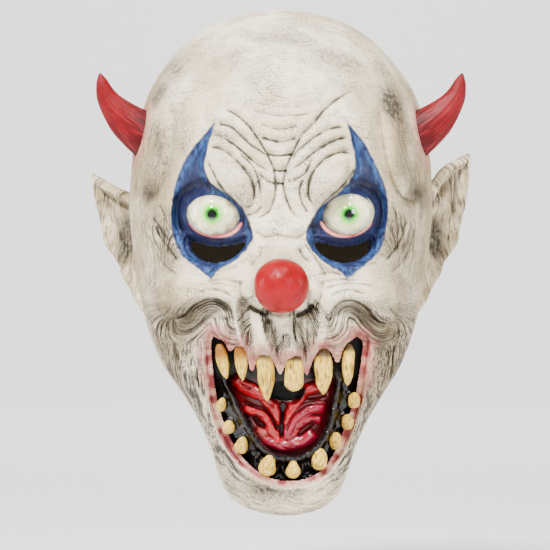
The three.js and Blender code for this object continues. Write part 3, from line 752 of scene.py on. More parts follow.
def eye_surface(eye, x, z):
    """The depth of an eye dome's front, over a skirt that falls away outside it."""
    across, depth, height = DOME_AT
    r2 = (x - eye["side"] * across) ** 2 + (z - height) ** 2
    return depth - np.sqrt(np.maximum(EYE_RADIUS**2 - r2, 4.0))


HORN_ROOT = (-31.0, -55.0)  # depth and height where the horns leave the head
HORN_RADIUS = 15.0
# Airbrushed grey, which also stands in for painted shade near the head's outline and in the cheek hollows: x,
# z, reach across, reach up, turn in degrees, and strength.
GREYS = [
    (-61, -19, 6, 11, -40, 0.9),
    (-70, -32, 5, 11, -30, 0.9),
    (64, -41, 6.5, 15, 24, 1.0),
    (56, -22, 5, 12, 40, 0.4),
    (-70, -60, 6, 16, 4, 0.5),
    (31, -16, 17, 8, -10, 0.55),
    (0, -2, 20, 5, 0, 0.5),
    (-30, -16, 22, 7, 12, 0.35),
    (-14, -26, 9, 6, 0, 0.3),
    (44, -30, 8, 10, 0, 0.3),
    (20, -36, 14, 4, 25, 0.3),
    (-60, -60, 5, 16, 8, 0.35),
    (-33, -59, 8, 4, -12, 0.4),
    (30, -62, 9, 5, 15, 0.3),
    (72, -80, 5, 12, 24, 0.5),
    (-76, -91, 6, 6, 0, 0.6),
    (78, -91, 6, 8, 20, 0.8),
    (-67, -128, 9, 16, -20, 0.25),
    (67, -128, 9, 16, 20, 0.25),
    (40, -158, 10, 7, 0, 0.3),
    (-39, -157, 10, 7, 0, 0.3),
    (-8, -256.6, 14, 3.5, -6, 0.7),
    (8, -257.5, 8, 3, 8, 0.5),
]


def colour_masks(x, z, depth, shown, patch, mouth):
    """Masks for the skin's colours at its points, from 0 to 1, painted shade among them."""
    on_face = shown > 0.3
    grey = np.zeros_like(x)
    cloud = (1 + 0.35 * noise(33, x / 8, z / 8)) * (shown > 0)
    for gx, gz, wide, high, tilt, strength in GREYS:
        u, v = turned(x, z, (gx, gz), tilt)
        grey = np.maximum(grey, strength * cloud * np.exp(-((u / wide) ** 2) - (v / high) ** 2))
    back = 0.3 * ramp(0.1, 0.7, layered(35, x / 40, depth / 40, z / 40))
    grey = np.maximum(grey, back * (1 - shown))
    collar = np.hypot(depth - HORN_ROOT[0], z - HORN_ROOT[1] + 2) - HORN_RADIUS
    pink = 0.75 * bell(collar, 5) * (np.abs(x) > 60) * (0.6 + 0.4 * noise(37, depth / 4, z / 4))
    high = ramp(-208, -190, z)
    arch = high * ramp(41, 36, np.abs(x - 2))
    patchy = 0.8 + 0.6 * noise(38, x / 4.5, z / 4.5) * (1 - 0.6 * arch)
    lip = bell(np.maximum(mouth - 0.6 - 0.8 * high, 0), 1.3 + 2.6 * high) * patchy
    lip = lip * (0.72 - 0.12 * (high - arch))
    broken = clamp(0.75 + 0.9 * noise(39, x / 3, z / 5))
    # Deep red where the lip turns in at the mouth's edge: red paint, and painted shade in the turn.
    lip = lip + (0.62 - 0.37 * arch) * ramp(1.7, 0.3, mouth) * broken
    corner = 0.8 * bell(np.hypot(x - 44, z + 172), 6) * ramp(6, 2, mouth)
    pink = np.maximum(pink, np.maximum(lip, corner) * on_face)
    hollow = np.zeros_like(x)
    for eye in EYES:
        d = eye_distance(eye, x, z)
        hollow = np.maximum(hollow, bell(d - 7.4, 2.6) * (z > eye["at"][1] - 8))
        low_lid = bell(d - 1.9, 1.25) * ramp(eye["at"][1] - 2, eye["at"][1] - 6, z)
        pink = np.maximum(pink, 0.62 * low_lid * on_face)
    return {
        "blue": ramp(0.5, -0.5, patch + 0.35 * noise(31, x / 2.2, z / 2.2)) * on_face,
        "rim": bell(patch + 2.2, 1.7) * on_face,
        "hollow": hollow * on_face,
        "pink": pink,
        "grey": grey,
    }


def lowest_near(field, reach):
    """The field's lowest value within reach cells, softened."""
    low = field
    for axis in (0, 1):
        low = np.minimum.reduce([np.roll(low, k, axis) for k in range(-reach, reach + 1)])
    for axis in (0, 1):
        low = sum(np.roll(low, k, axis) for k in range(-2, 3)) / 5
    return low


def sculpted_head():
    """Every grid point of the skin: outer and inner places and paint."""
    p, normal, turn, keep, fold = head_grid()
    x, z = p[..., 0].ravel(), p[..., 2].ravel()
    shown = ramp(0.08, 0.34, np.cos(turn)).ravel()
    height, dirt_and_shade, patch, mouth, phase, streak = sculpt(x, z, shown)
    fine = ramp(0.2, 0.4, np.cos(turn)).ravel()
    dirt_and_shade, streak = dirt_and_shade * fine, streak * fine
    flat_p, flat_n = p.reshape(-1, 3), normal.reshape(-1, 3)
    soft = 1.3 * layered(21, *(flat_p / 34).T, layers=2) + 0.35 * layered(25, *(flat_p / 9).T, layers=2)
    from_horn = np.hypot(flat_p[:, 1] - HORN_ROOT[0], flat_p[:, 2] - HORN_ROOT[1])
    collar = bell(from_horn - HORN_RADIUS, 4.5) * (np.abs(x) > 60)
    height = height + soft * (0.4 + 0.3 * (1 - shown)) + 1.4 * collar
    ahead = np.array([0.0, -1.0, 0.0])
    steep = np.maximum(-flat_n[:, 1], 0.45)[:, None]
    way = flat_n * (1 - shown[:, None]) + ahead * shown[:, None] / steep
    q = flat_p + way * height[:, None]
    # The inside follows the hollows, so that the skin keeps its thickness, and stands straight at both poles.
    sunk = lowest_near(np.minimum(height, 0).reshape(p.shape[:2]), 4).ravel() * ramp(1.5, 5, mouth)
    pole = ramp(6, 2, np.abs(flat_p[:, 2] - CHIN)) + ramp(6, 2, np.abs(flat_p[:, 2] - CROWN))
    upright = np.stack([0 * x, 0 * x, np.sign(flat_p[:, 2] + 100)], -1)
    inward = flat_n * (1 - pole[:, None]) + upright * pole[:, None]
    inner = flat_p - inward * SKIN_THICK + way * sunk[:, None]
    # The skin round an eye lies on its dome.
    for eye in EYES:
        d = eye_distance(eye, x, z)
        near = bell(np.maximum(d, 0), 3.4) * (shown > 0.5)
        lid = eye_surface(eye, x, z) - 0.7 + 1.0 * ramp(1.2, 0, d)
        q[:, 1] = q[:, 1] * (1 - near) + (lid - 0.9 * bell(d - 2.4, 1.8)) * near
        behind = np.maximum(inner[:, 1] * (1 - near) + (lid + 1.5) * near, q[:, 1] + 1.2)
        inner[:, 1] = np.where((shown > 0.5) & (d < 14), behind, inner[:, 1])
    paint = colour_masks(x, z, flat_p[:, 1], shown, patch, mouth)
    mouth = np.where(shown > 0.2, mouth, 30.0)
    paint.update({"dirt_and_shade": dirt_and_shade, "streak": streak, "phase": phase, "mouth": mouth})
    return q, inner, normal, keep, fold, p.shape[:2], paint


def split(polygons, sign):
    """Parts polygons by their corners' signs. A quad cut from corner to corner becomes two triangles."""
    over, under = {3: [], 4: []}, {3: [], 4: []}
    for size, faces in polygons.items():
        if not len(faces):
            continue
        s = sign[faces]
        mixed = (s > 0).any(1) & (s < 0).any(1)
        up = (s.sum(1) > 0) | ~(s < 0).any(1)
        if size == 4:
            for k in (0, 1):
                cut = mixed & (s[:, k] == 0) & (s[:, k + 2] == 0)
                for corners in ([k, k + 1, k + 2], [k + 2, (k + 3) % 4, k]):
                    tri = faces[cut][:, corners]
                    above = s[cut][:, corners[1]] > 0
                    over[3].append(tri[above])
                    under[3].append(tri[~above])
                keep = ~cut
                faces, s, mixed, up = faces[keep], s[keep], mixed[keep], up[keep]
        over[size].append(faces[up])
        under[size].append(faces[~up])
    return tuple(
        {size: np.concatenate(side[size]) if side[size] else np.zeros((0, size), int) for size in (3, 4)}
        for side in (over, under)
    )


def mesh_object(name, points, polygons, values=None):
    """A smooth-shaded mesh from points in mm, faces by size, and float attributes on its points."""
    data = bpy.data.meshes.new(name)
    corners = np.concatenate([np.asarray(f, int).ravel() for f in polygons])
    sizes = np.concatenate([np.full(len(f), f.shape[1]) for f in map(np.asarray, polygons) if len(f)])
    data.vertices.add(len(points))
    data.vertices.foreach_set("co", (np.asarray(points) * MM).astype(np.float32).ravel())
    data.loops.add(len(corners))
    data.loops.foreach_set("vertex_index", corners.astype(np.int32))
    data.polygons.add(len(sizes))
    starts = np.concatenate([[0], np.cumsum(sizes)[:-1]])
    data.polygons.foreach_set("loop_start", starts.astype(np.int32))
    data.update(calc_edges=True)
    data.validate()
    data.shade_smooth()
    for key, value in (values or {}).items():
        layer = data.attributes.new(key, "FLOAT", "POINT")
        layer.data.foreach_set("value", np.asarray(value, np.float32))
    return link(bpy.data.objects.new(name, data))


def shell_object(name, outer, inner, normal, polygons, paint):
    """A closed skin between outer and inner points, with a rounded rim along every open edge."""
    quads, tris = polygons[4], polygons[3]
    pairs = [quads[:, [k, (k + 1) % 4]] for k in range(4)] + [tris[:, [k, (k + 1) % 3]] for k in range(3)]
    edges = np.concatenate(pairs)
    total = len(outer)
    key = edges[:, 0] * total + edges[:, 1]
    twin = edges[:, 1] * total + edges[:, 0]
    rim = edges[~np.isin(key, twin)]
    out_way = np.zeros_like(outer)
    direction = np.cross(outer[rim[:, 1]] - outer[rim[:, 0]], normal[rim[:, 0]])
    direction /= np.linalg.norm(direction, axis=1, keepdims=True) + 1e-9
    for k in (0, 1):
        np.add.at(out_way, rim[:, k], direction)
    out_way /= np.linalg.norm(out_way, axis=1, keepdims=True) + 1e-9
    middle = (outer + inner) / 2 + out_way * 0.3 * np.linalg.norm(outer - inner, axis=1, keepdims=True)
    a, b = rim[:, 0], rim[:, 1]
    every = [
        quads,
        quads[:, ::-1] + total,
        np.stack([b, a, a + 2 * total, b + 2 * total], 1),
        np.stack([b + 2 * total, a + 2 * total, a + total, b + total], 1),
    ]
    three = [tris, tris[:, ::-1] + total]
    points = np.concatenate([outer, inner, middle])
    used = np.unique(np.concatenate([f.ravel() for f in every + three]))
    new = np.full(len(points), -1)
    new[used] = np.arange(len(used))
    values = {k: np.concatenate([v, v, v])[used] for k, v in paint.items()}
    rim_paint = ramp(2, 5, paint["mouth"])
    values["inside"] = np.concatenate([np.zeros(total), rim_paint, 0.3 * rim_paint])[used]
    return mesh_object(name, points[used], [new[f] for f in every + three], values)


# ---- Materials ----


def hue(code):
    """A colour such as d9d3c7 as linear red, green and blue."""
    parts = [int(code[i : i + 2], 16) / 255 for i in (0, 2, 4)]
    return [p / 12.92 if p <= 0.04045 else ((p + 0.055) / 1.055) ** 2.4 for p in parts] + [1.0]


class Look:
    """A node material that is built up call by call."""

    def __init__(self, name, roughness=0.5, **settings):
        self.material = bpy.data.materials.new(name)
        self.material.use_nodes = True
        self.tree = self.material.node_tree
        self.shader = self.tree.nodes["Principled BSDF"]
        self.shader.inputs["Roughness"].default_value = roughness
        for key, value in settings.items():
            self.shader.inputs[key.replace("_", " ")].default_value = value
        self.place = self.node("ShaderNodeTexCoord").outputs["Object"]

    def node(self, kind, inputs=(), **settings):
        made = self.tree.nodes.new(kind)
        for key, value in settings.items():
            setattr(made, key, value)
        for key, value in dict(inputs).items():
            if isinstance(value, bpy.types.NodeSocket):
                self.tree.links.new(value, made.inputs[key])
            else:
                made.inputs[key].default_value = value
        return made

    def value(self, name):
        return self.node("ShaderNodeAttribute", attribute_name=name).outputs["Fac"]

    def noise(self, scale, vector=None, detail=3.0, twist=0.0):
        inputs = {"Vector": vector or self.place, "Scale": scale, "Detail": detail, "Distortion": twist}
        return self.node("ShaderNodeTexNoise", inputs).outputs["Fac"]

    def cells(self, scale, vector=None, feature="DISTANCE_TO_EDGE"):
        inputs = {"Vector": vector or self.place, "Scale": scale}
        return self.node("ShaderNodeTexVoronoi", inputs, feature=feature).outputs["Distance"]

    def span(self, value, low, high, start=0.0, end=1.0):
        inputs = {"Value": value, "From Min": low, "From Max": high, "To Min": start, "To Max": end}
        return self.node("ShaderNodeMapRange", inputs).outputs["Result"]

    def math(self, operation, a, b=0.0, clamped=False):
        made = self.node("ShaderNodeMath", {0: a, 1: b}, operation=operation, use_clamp=clamped)
        return made.outputs[0]

    def plus(self, a, b, clamped=False):
        return self.math("ADD", a, b, clamped)

    def times(self, a, b):
        return self.math("MULTIPLY", a, b)

    def mix(self, factor, a, b, blend="MIX"):
        colours = [hue(c) if isinstance(c, str) else c for c in (a, b)]
        inputs = {0: factor, 6: colours[0], 7: colours[1]}
        return self.node("ShaderNodeMix", inputs, data_type="RGBA", blend_type=blend).outputs[2]

    def join(self, x, y, z):
        return self.node("ShaderNodeCombineXYZ", {0: x, 1: y, 2: z}).outputs[0]

    def parts(self):
        return self.node("ShaderNodeSeparateXYZ", {0: self.place}).outputs

    def vectors(self, operation, a, b):
        return self.node("ShaderNodeVectorMath", {0: a, 1: b}, operation=operation).outputs[0]

    def stretched(self, *scales):
        """The place, with its x, y and z scaled each by its own number."""
        return self.vectors("MULTIPLY", self.place, scales)

    def bent(self, scale, reach):
        """The place moved about by a noise, to bend straight patterns."""
        inputs = {"Vector": self.place, "Scale": scale, "Detail": 2.0}
        wander = self.node("ShaderNodeTexNoise", inputs).outputs["Color"]
        return self.vectors("ADD", self.place, self.vectors("MULTIPLY", wander, (reach,) * 3))

    def bump(self, height, strength, distance=0.0004):
        inputs = {"Height": height, "Strength": strength, "Distance": distance}
        before = self.shader.inputs["Normal"]
        if before.is_linked:
            inputs["Normal"] = before.links[0].from_socket
        made = self.node("ShaderNodeBump", inputs)
        self.tree.links.new(made.outputs["Normal"], before)

    def paint(self, colour, socket="Base Color"):
        if isinstance(colour, bpy.types.NodeSocket):
            self.tree.links.new(colour, self.shader.inputs[socket])
        else:
            self.shader.inputs[socket].default_value = colour
        return self.material


def skin_look():
    look = Look("latex_skin", 0.56, Specular_IOR_Level=0.18)
    x, y, z = look.parts()
    flow = look.join(look.value("phase"), look.times(z, 60.0), look.times(x, 30.0))
    streak_noise = look.noise(0.95, flow, 2.5, 0.25)
    fine_streak = look.noise(2.0, flow, 3.0, 0.3)
    broad = look.noise(26.0, detail=4.0)
    # Aged cream in random tones, with painted shade that makes it browner towards the sides and behind.
    side_shade = look.span(look.math("ABSOLUTE", x), 0.03, 0.085, -0.3, 0.45)
    behind = look.span(y, -0.04, 0.03, 0, 0.2)
    shade = look.plus(look.plus(look.span(broad, 0.35, 0.7), side_shade), behind, clamped=True)
    colour = look.mix(shade, "f4e6c8", "bda982")
    mottle = look.noise(160.0, detail=5.0)
    colour = look.mix(look.span(mottle, 0.5, 0.8, 0, 0.35), colour, "6a5a46")
    hairlines = look.noise(1.0, look.stretched(90.0, 90.0, 1300.0), 4.0, 0.5)
    colour = look.mix(look.span(hairlines, 0.55, 0.72, 0, 0.4), colour, "5c4c3a")
    cracks = look.cells(620.0, look.bent(260.0, 0.0022))
    patchy = look.span(look.noise(60.0, detail=3.0), 0.38, 0.6)
    cracked = look.times(look.span(cracks, 0.13, 0.0), patchy)
    colour = look.mix(look.times(cracked, 0.85), colour, "3a3026")
    # Dark wash left in the streaks.
    streak = look.value("streak")
    shows = look.span(streak, 0.05, 0.55)
    streaks = look.times(look.span(streak_noise, 0.54, 0.59), shows)
    colour = look.mix(look.times(streaks, 0.92), colour, "251d16")
    thin = look.times(look.span(fine_streak, 0.53, 0.58), shows)
    colour = look.mix(look.times(thin, 0.85), colour, "2c231b")
    washed = look.times(look.span(broad, 0.45, 0.7, 0.1, 0.5), shows)
    colour = look.mix(washed, colour, "5f513f")
    # Airbrushed greys, partly standing in for painted shade, and pinks; dirt in the creases, and painted
    # shadow below the ledges.
    grey = look.value("grey")
    speckle = look.span(look.noise(420.0, detail=4.0), 0.34, 0.62)
    darkening = look.times(grey, look.span(speckle, 0, 1, 0.45, 1))
    colour = look.mix(look.span(darkening, 0, 0.75, 0, 0.93), colour, "332a22")
    pink = look.value("pink")
    colour = look.mix(look.times(pink, look.span(mottle, 0.2, 0.75, 0.65, 1)), colour, "bb5e5c")
    # The deep red at the lip's turned-in edge is red paint with painted shade.
    red = look.times(look.span(pink, 0.75, 1.1), look.span(mottle, 0.3, 0.6, 0.5, 1))
    colour = look.mix(look.times(red, 0.85), colour, "5c161c")
    dirt_and_shade = look.value("dirt_and_shade")
    rough_dirt_and_shade = look.times(dirt_and_shade, look.span(look.noise(900.0, detail=4.0), 0.25, 0.6, 0.55, 1.1))
    colour = look.mix(look.span(rough_dirt_and_shade, 0.1, 1.0, 0, 0.92), colour, "150f0a")
    # The patches' blue, with pink lids, and the bare latex inside.
    blue = blue_paint(look, dirt_and_shade)
    lid = look.times(look.value("blue"), look.span(pink, 0.25, 0.5))
    colour = look.mix(look.value("blue"), colour, blue)
    colour = look.mix(lid, colour, look.mix(look.span(mottle, 0.35, 0.65), "b14251", "f0987f"))
    # The patches' blue, with pink lids, and the bare latex inside, kept darker than bare latex as painted
    # shade for the mask's hollow seen through the slots.
    inside = look.value("inside")
    latex = look.mix(look.noise(40.0, detail=3.0), "6e644f", "544b3c")
    colour = look.mix(look.span(inside, 0.5, 0.9), colour, latex)
    painted = look.math("MAXIMUM", look.value("blue"), look.span(pink, 0.5, 0.9))
    roughness = look.plus(look.span(painted, 0, 1, 0.58, 0.3), look.span(broad, 0.3, 0.7, -0.05, 0.05))
    look.paint(roughness, "Roughness")
    look.bump(look.noise(520.0, detail=5.0), 0.45, 0.0005)
    look.bump(hairlines, 0.3, 0.0004)
    look.bump(look.span(cracks, 0.0, 0.1), 0.4, 0.0004)
    look.bump(look.times(streak_noise, streak), 1.0, 0.0016)
    look.bump(look.times(fine_streak, streak), 0.8, 0.0008)
    return look.paint(colour)


def blue_paint(look, dirt_and_shade):
    """Brushed blue: navy in the hollows, pale strokes at the rims."""
    strokes = look.noise(1.0, look.stretched(420.0, 420.0, 110.0), 4.0)
    blotch = look.noise(150.0, detail=4.0)
    blue = look.mix(look.span(blotch, 0.3, 0.7), "181a35", "22284a")
    blue = look.mix(look.span(strokes, 0.5, 0.72, 0, 0.55), blue, "2c3a60")
    pale = look.times(look.value("rim"), look.span(strokes, 0.38, 0.62))
    blue = look.mix(look.times(pale, 0.82), blue, "375a8e")
    navy = look.value("hollow")
    blue = look.mix(look.times(navy, look.span(blotch, 0.25, 0.6, 1, 0.7)), blue, "0b091a")
    # The crease wash and the painted shadow below the brow ledges darken the blue as well.
    return look.mix(look.span(dirt_and_shade, 0.3, 1.2, 0, 0.7), blue, "0a091c")


# The iris in rings: where each paint starts and where it is full, in metres from the middle of the iris,
# then its strength and colour.
IRIS_RINGS = [
    (0.0105, 0.005, 0.5, "b4d860"),
    (0.0066, 0.0042, 0.9, "62e41c"),
    (0.0048, 0.0034, 0.8, "0c8a0c"),
    (0.0036, 0.0026, 1.0, "176518"),
    (0.00275, 0.0023, 1.0, "141713"),
]


def eye_look():
    look = Look("eye_white", 0.1, Coat_Weight=0.7, Coat_Roughness=0.03)
    x, _, z = look.parts()
    smear = look.noise(210.0, detail=3.0)
    colour = look.mix(look.span(smear, 0.4, 0.75, 0, 0.5), "f2ecc8", "dcc080")
    # Painted shade towards the dome's edge, where the lids overhang it, and more on the nose side.
    edge = look.value("edge")
    dark = look.span(look.plus(edge, look.times(smear, 0.5)), 0.98, 1.3)
    colour = look.mix(look.times(dark, 0.85), colour, "241c14")
    for eye in EYES:
        ix, iz = (value * MM for value in eye["iris"])
        dx, dz = look.plus(x, -ix), look.plus(z, -iz)
        away = look.math("POWER", look.plus(look.times(dx, dx), look.times(dz, dz)), 0.5)
        away = look.plus(away, look.times(look.plus(look.noise(700.0), -0.5), 0.0009))
        for starts, full, strength, code in IRIS_RINGS:
            colour = look.mix(look.span(away, starts, full, 0, strength), colour, code)
    look.bump(smear, 0.06, 0.0004)
    return look.paint(colour)


def gum_look():
    look = Look("gum_black", Specular_IOR_Level=0.3)
    look.paint(look.span(look.value("dull"), 0, 1, 0.1, 0.9), "Roughness")
    blotch = look.noise(120.0, detail=4.0)
    colour = look.mix(look.span(blotch, 0.35, 0.75), "040303", "100c0c")
    colour = look.mix(look.times(look.value("edge"), look.span(blotch, 0.3, 0.6)), colour, "30141a")
    look.bump(look.noise(520.0, detail=1.0, twist=0.6), 0.4, 0.0006)
    return look.paint(colour)


def tongue_look():
    look = Look("tongue_red", 0.3, Specular_IOR_Level=0.25, Coat_Roughness=0.05)
    look.paint(look.span(look.value("dark"), 0.3, 0.9, 0.6, 0.04), "Coat Weight")
    blotch = look.noise(150.0, detail=4.0)
    colour = look.mix(look.span(blotch, 0.3, 0.7), "860612", "a60814")
    colour = look.mix(look.value("pink"), colour, "860f28")
    colour = look.mix(look.times(look.value("pale"), 0.8), colour, "a35a4c")
    # Painted shade in the gaps, the low places and round the throat.
    colour = look.mix(look.value("dark"), colour, "120505")
    look.bump(look.noise(420.0, detail=4.0, twist=0.4), 0.3, 0.0006)
    return look.paint(colour)


def tooth_look():
    look = Look("tooth_ivory", 0.36, Specular_IOR_Level=0.3)
    around, down = look.value("around"), look.value("down")
    flow = look.join(look.times(around, 26.0), look.times(down, 2.2), look.value("seed"))
    grain = look.noise(1.0, flow, 5.0, 0.4)
    blotch = look.noise(240.0, detail=3.0)
    colour = look.mix(look.span(blotch, 0.3, 0.7), "e8c04a", "bd8f22")
    # Paler along the grain's ridges: the grain's own tone, with painted highlights.
    colour = look.mix(look.span(grain, 0.52, 0.72, 0, 0.75), colour, "fce684")
    colour = look.mix(look.span(grain, 0.47, 0.36, 0, 0.75), colour, "3c3018")
    amber = look.plus(look.value("amber"), look.times(grain, 0.5))
    colour = look.mix(look.span(amber, 0.45, 1.05, 0, 0.95), colour, "804a04")
    root = look.plus(look.value("root"), look.times(grain, 0.45))
    colour = look.mix(look.span(root, 0.5, 1.05, 0, 0.9), colour, "2d2020")
    look.bump(grain, 0.7, 0.0007)
    look.bump(look.noise(800.0), 0.15, 0.0003)
    return look.paint(colour)


def red_look(name, base, pale, dark, roughness, specular):
    """Satin red latex, paler in blotches and streaks that are partly rubbed paint and partly painted
    highlight, and dark in its grooves.
    """
    look = Look(name, roughness, Specular_IOR_Level=specular)
    around, down = look.value("around"), look.value("down")
    flow = look.join(look.times(around, 20.0), look.times(down, 2.4), 0.0)
    grain = look.noise(1.0, flow, 5.0, 0.5)
    blotch = look.noise(90.0, detail=4.0)
    # The pale blotches and streaks hold painted highlights as well as rubbed paint.
    colour = look.mix(look.span(blotch, 0.35, 0.7), base, pale)
    colour = look.mix(look.span(grain, 0.52, 0.75, 0, 0.5), colour, pale)
    # Darker in the grain's grooves: a horn's stain, and on the nose painted shade towards the skin.
    darkening = look.times(look.value("darkening"), look.span(grain, 0.62, 0.5))
    colour = look.mix(look.math("MINIMUM", darkening, 0.93), colour, dark)
    colour = look.mix(look.span(look.noise(420.0, detail=4.0), 0.58, 0.8, 0, 0.35), colour, dark)
    look.bump(grain, 0.35, 0.0007)
    look.bump(look.noise(600.0, detail=4.0), 0.2, 0.0004)
    return look.paint(colour)


def ear_look():
    look = Look("latex_ear", 0.56, Specular_IOR_Level=0.18)
    around, down = look.value("across"), look.value("down")
    flow = look.join(look.times(around, 0.62), look.times(down, 0.05), look.value("side"))
    grain = look.noise(1.0, flow, 5.0, 0.7)
    fine = look.noise(1.0, look.join(look.times(around, 1.6), look.times(down, 0.12), 4.0), 4.0, 0.5)
    blotch = look.noise(90.0, detail=4.0)
    colour = look.mix(look.span(blotch, 0.35, 0.7), "e2d0ae", "93805f")
    shows = look.value("shows")
    colour = look.mix(look.times(look.span(grain, 0.5, 0.66, 0, 0.85), shows), colour, "2c231a")
    colour = look.mix(look.times(look.span(fine, 0.52, 0.64, 0, 0.7), shows), colour, "2c241c")
    # Painted shade in the ear's bowl, along its groove and near its root.
    dark = look.times(look.value("dark"), look.span(look.noise(500.0), 0.25, 0.65, 0.75, 1.1))
    colour = look.mix(look.span(dark, 0.1, 1.0, 0, 0.95), colour, "171514")
    look.bump(look.noise(520.0, detail=5.0), 0.3, 0.0004)
    look.bump(grain, 0.5, 0.0009)
    look.bump(fine, 0.35, 0.0005)
    return look.paint(colour)


def foam_look():
    look = Look("foam_pad", 0.95)
    pores = look.cells(900.0, look.bent(300.0, 0.001), "F1")
    colour = look.mix(look.noise(70.0, detail=3.0), "cfc7b4", "b3a98f")
    colour = look.mix(look.span(pores, 0.55, 0.2, 0, 0.5), colour, "7b725f")
    look.bump(pores, 0.6, 0.0006)
    return look.paint(colour)


def gauze_look():
    look = Look("gauze_black", 0.9)
    x, _, z = look.parts()
    threads = [look.math("SINE", look.times(value, 5200.0)) for value in (x, z)]
    weave = look.times(*threads)
    colour = look.mix(look.span(weave, -1, 1), "020203", "0a0a0c")
    look.bump(weave, 0.8, 0.0004)
    return look.paint(colour)


# ---- Castings built from rings of points ----


def lofted(name, rings, closed=False, values=None):
    """A closed body through rings of points. Its ends are capped, or joined to each other when closed."""
    rings = np.asarray(rings, float)
    count, sides = rings.shape[:2]
    index = np.arange(count * sides).reshape(count, sides)
    before = index if closed else index[:-1]
    after = np.roll(index, -1, 0) if closed else index[1:]
    quads = np.stack([before, np.roll(before, -1, 1), np.roll(after, -1, 1), after], -1).reshape(-1, 4)
    points = rings.reshape(-1, 3)
    polygons = [quads]
    values = {k: np.broadcast_to(v, (count, sides)).astype(float) for k, v in (values or {}).items()}
    flat = {k: v.ravel() for k, v in values.items()}
    if not closed:
        first, last = index[0], index[-1]
        points = np.concatenate([points, rings[0].mean(0)[None], rings[-1].mean(0)[None]])
        size = count * sides
        polygons.append(np.stack([np.full(sides, size), np.roll(first, -1), first], 1))
        polygons.append(np.stack([np.full(sides, size + 1), last, np.roll(last, -1)], 1))
        flat = {k: np.append(v, [values[k][0].mean(), values[k][-1].mean()]) for k, v in flat.items()}
    a, b, c, d = (points[quads[:, k]] for k in range(4))
    middle = points.mean(0)
    volume = 0.0
    for p, q, r in ((a, b, c), (a, c, d)):
        volume += np.einsum("ij,ij->", p - middle, np.cross(q - middle, r - middle))
    if volume < 0:
        polygons = [f[:, ::-1] for f in polygons]
    return mesh_object(name, points, polygons, flat)


def slab(name, x, z, front, back, skip, values):
    """A closed ring-shaped casting between two depths. Its back keeps one ring in every skip."""
    rings = np.concatenate([np.stack([x, front, z], -1), np.stack([x, back, z], -1)[::-skip]])
    values = {key: np.concatenate([value, value[::-skip]]) for key, value in values.items()}
    return lofted(name, rings, closed=True, values=values)


def radius_at(outline, middle, angles):
    """How far a closed outline is from middle at each angle, for an outline seen whole from there."""
    p = np.asarray(outline, float) - middle
    turn = np.arctan2(p[:, 1], p[:, 0])
    length = np.hypot(p[:, 0], p[:, 1])
    order = np.argsort(turn)
    return np.interp(angles, turn[order], length[order], period=2 * np.pi)


def polar(outline, middle, sides, grow=0.0):
    angles = np.linspace(-np.pi, np.pi, sides, endpoint=False)
    radius = radius_at(outline, middle, angles) + grow
    return np.stack([middle[0] + radius * np.cos(angles), middle[1] + radius * np.sin(angles)], -1)


def finish_piece(piece, material, slot_name, *nodes, body="head"):
    piece.data.materials.append(material)
    if body:
        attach(piece, body)
    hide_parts(*nodes)
    return piece


def head_pieces(material):
    """The skin with its two nape flaps."""
    outer, inner, normal, keep, fold, shape, paint = sculpted_head()
    rows, columns = shape
    index = np.arange(rows * columns).reshape(shape)
    beside = np.roll(index, -1, 1)
    quads = np.stack([index[:-1], index[1:], beside[1:], beside[:-1]], -1).reshape(-1, 4)
    crown, chin = rows * columns, rows * columns + 1
    fan = np.full(columns, crown), np.full(columns, chin)
    tris = np.concatenate(
        [np.stack([fan[0], index[0], beside[0]], 1), np.stack([index[-1], fan[1], beside[-1]], 1)]
    )
    ends = np.array([outer[index[0]].mean(0), outer[index[-1]].mean(0)])
    inner_ends = np.array([inner[index[0]].mean(0), inner[index[-1]].mean(0)])
    outer, inner = np.concatenate([outer, ends]), np.concatenate([inner, inner_ends])
    normal = np.concatenate([normal.reshape(-1, 3), [[0, 0, 1], [0, 0, -1]]])
    paint = {k: np.concatenate([v, [0, 0]]) for k, v in paint.items()}
    keep = np.concatenate([keep.ravel(), [1, 1]])
    fold = np.concatenate([fold.ravel(), [1, 1]])
    kept, _ = split({4: quads, 3: tris}, keep)
    above, below = split(kept, fold)
    skin = shell_object("mask_skin", outer, inner, normal, above, paint)
    finish_piece(skin, material, "skin", "head_skin")
    for side, body in ((-1, "flap_left"), (1, "flap_right")):
        part = {n: f[np.sign(outer[f][..., 0].mean(1)) == side] for n, f in below.items()}
        flap = shell_object(f"nape_{body}", outer, inner, normal, part, paint)
        finish_piece(flap, material, "skin", f"rear_{body}", body=None)
        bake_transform(flap)


EYE_SIDES, EYE_RINGS = 144, 64
EYE_BACK = -87.9


def make_eyes(material):
    """Domes cut to the openings, and a little larger, so that the lids cover their edges."""
    for eye, word in zip(EYES, ("left", "right")):
        angles = np.linspace(0, 2 * np.pi, EYE_SIDES, endpoint=False)
        u = (eye["reach"][0] + 2.2) * np.cos(angles)
        v = (eye["reach"][1] + 1.7) * np.sin(angles)
        edge = np.stack(turned(u, v, (0, 0), -eye["tilt"]), -1)
        share = np.sin(np.linspace(0.02, 1, EYE_RINGS) * np.pi / 2)
        places = np.array(eye["at"]) + share[:, None, None] * edge
        x, z = places[..., 0], places[..., 1]
        front = eye_surface(eye, x, z)
        away = np.hypot(x - eye["iris"][0], z - eye["iris"][1])
        front = front - 0.7 * ramp(7.2, 3.5, away) - 0.5
        behind = np.stack([x[-1], np.full(EYE_SIDES, EYE_BACK), z[-1]], -1)
        rings = np.concatenate([np.stack([x, front, z], -1), behind[None]])
        # The edge value, stronger on the nose side, carries the painted shade under the lids.
        nasal = clamp(-eye["side"] * np.cos(angles)) ** 2
        values = {"edge": np.concatenate([share, [1.0]])[:, None] * (1 + 0.16 * nasal)}
        piece = lofted(f"eye_{word}", rings, values=values)
        finish_piece(piece, material, "eye", f"eye_dome_{word}")


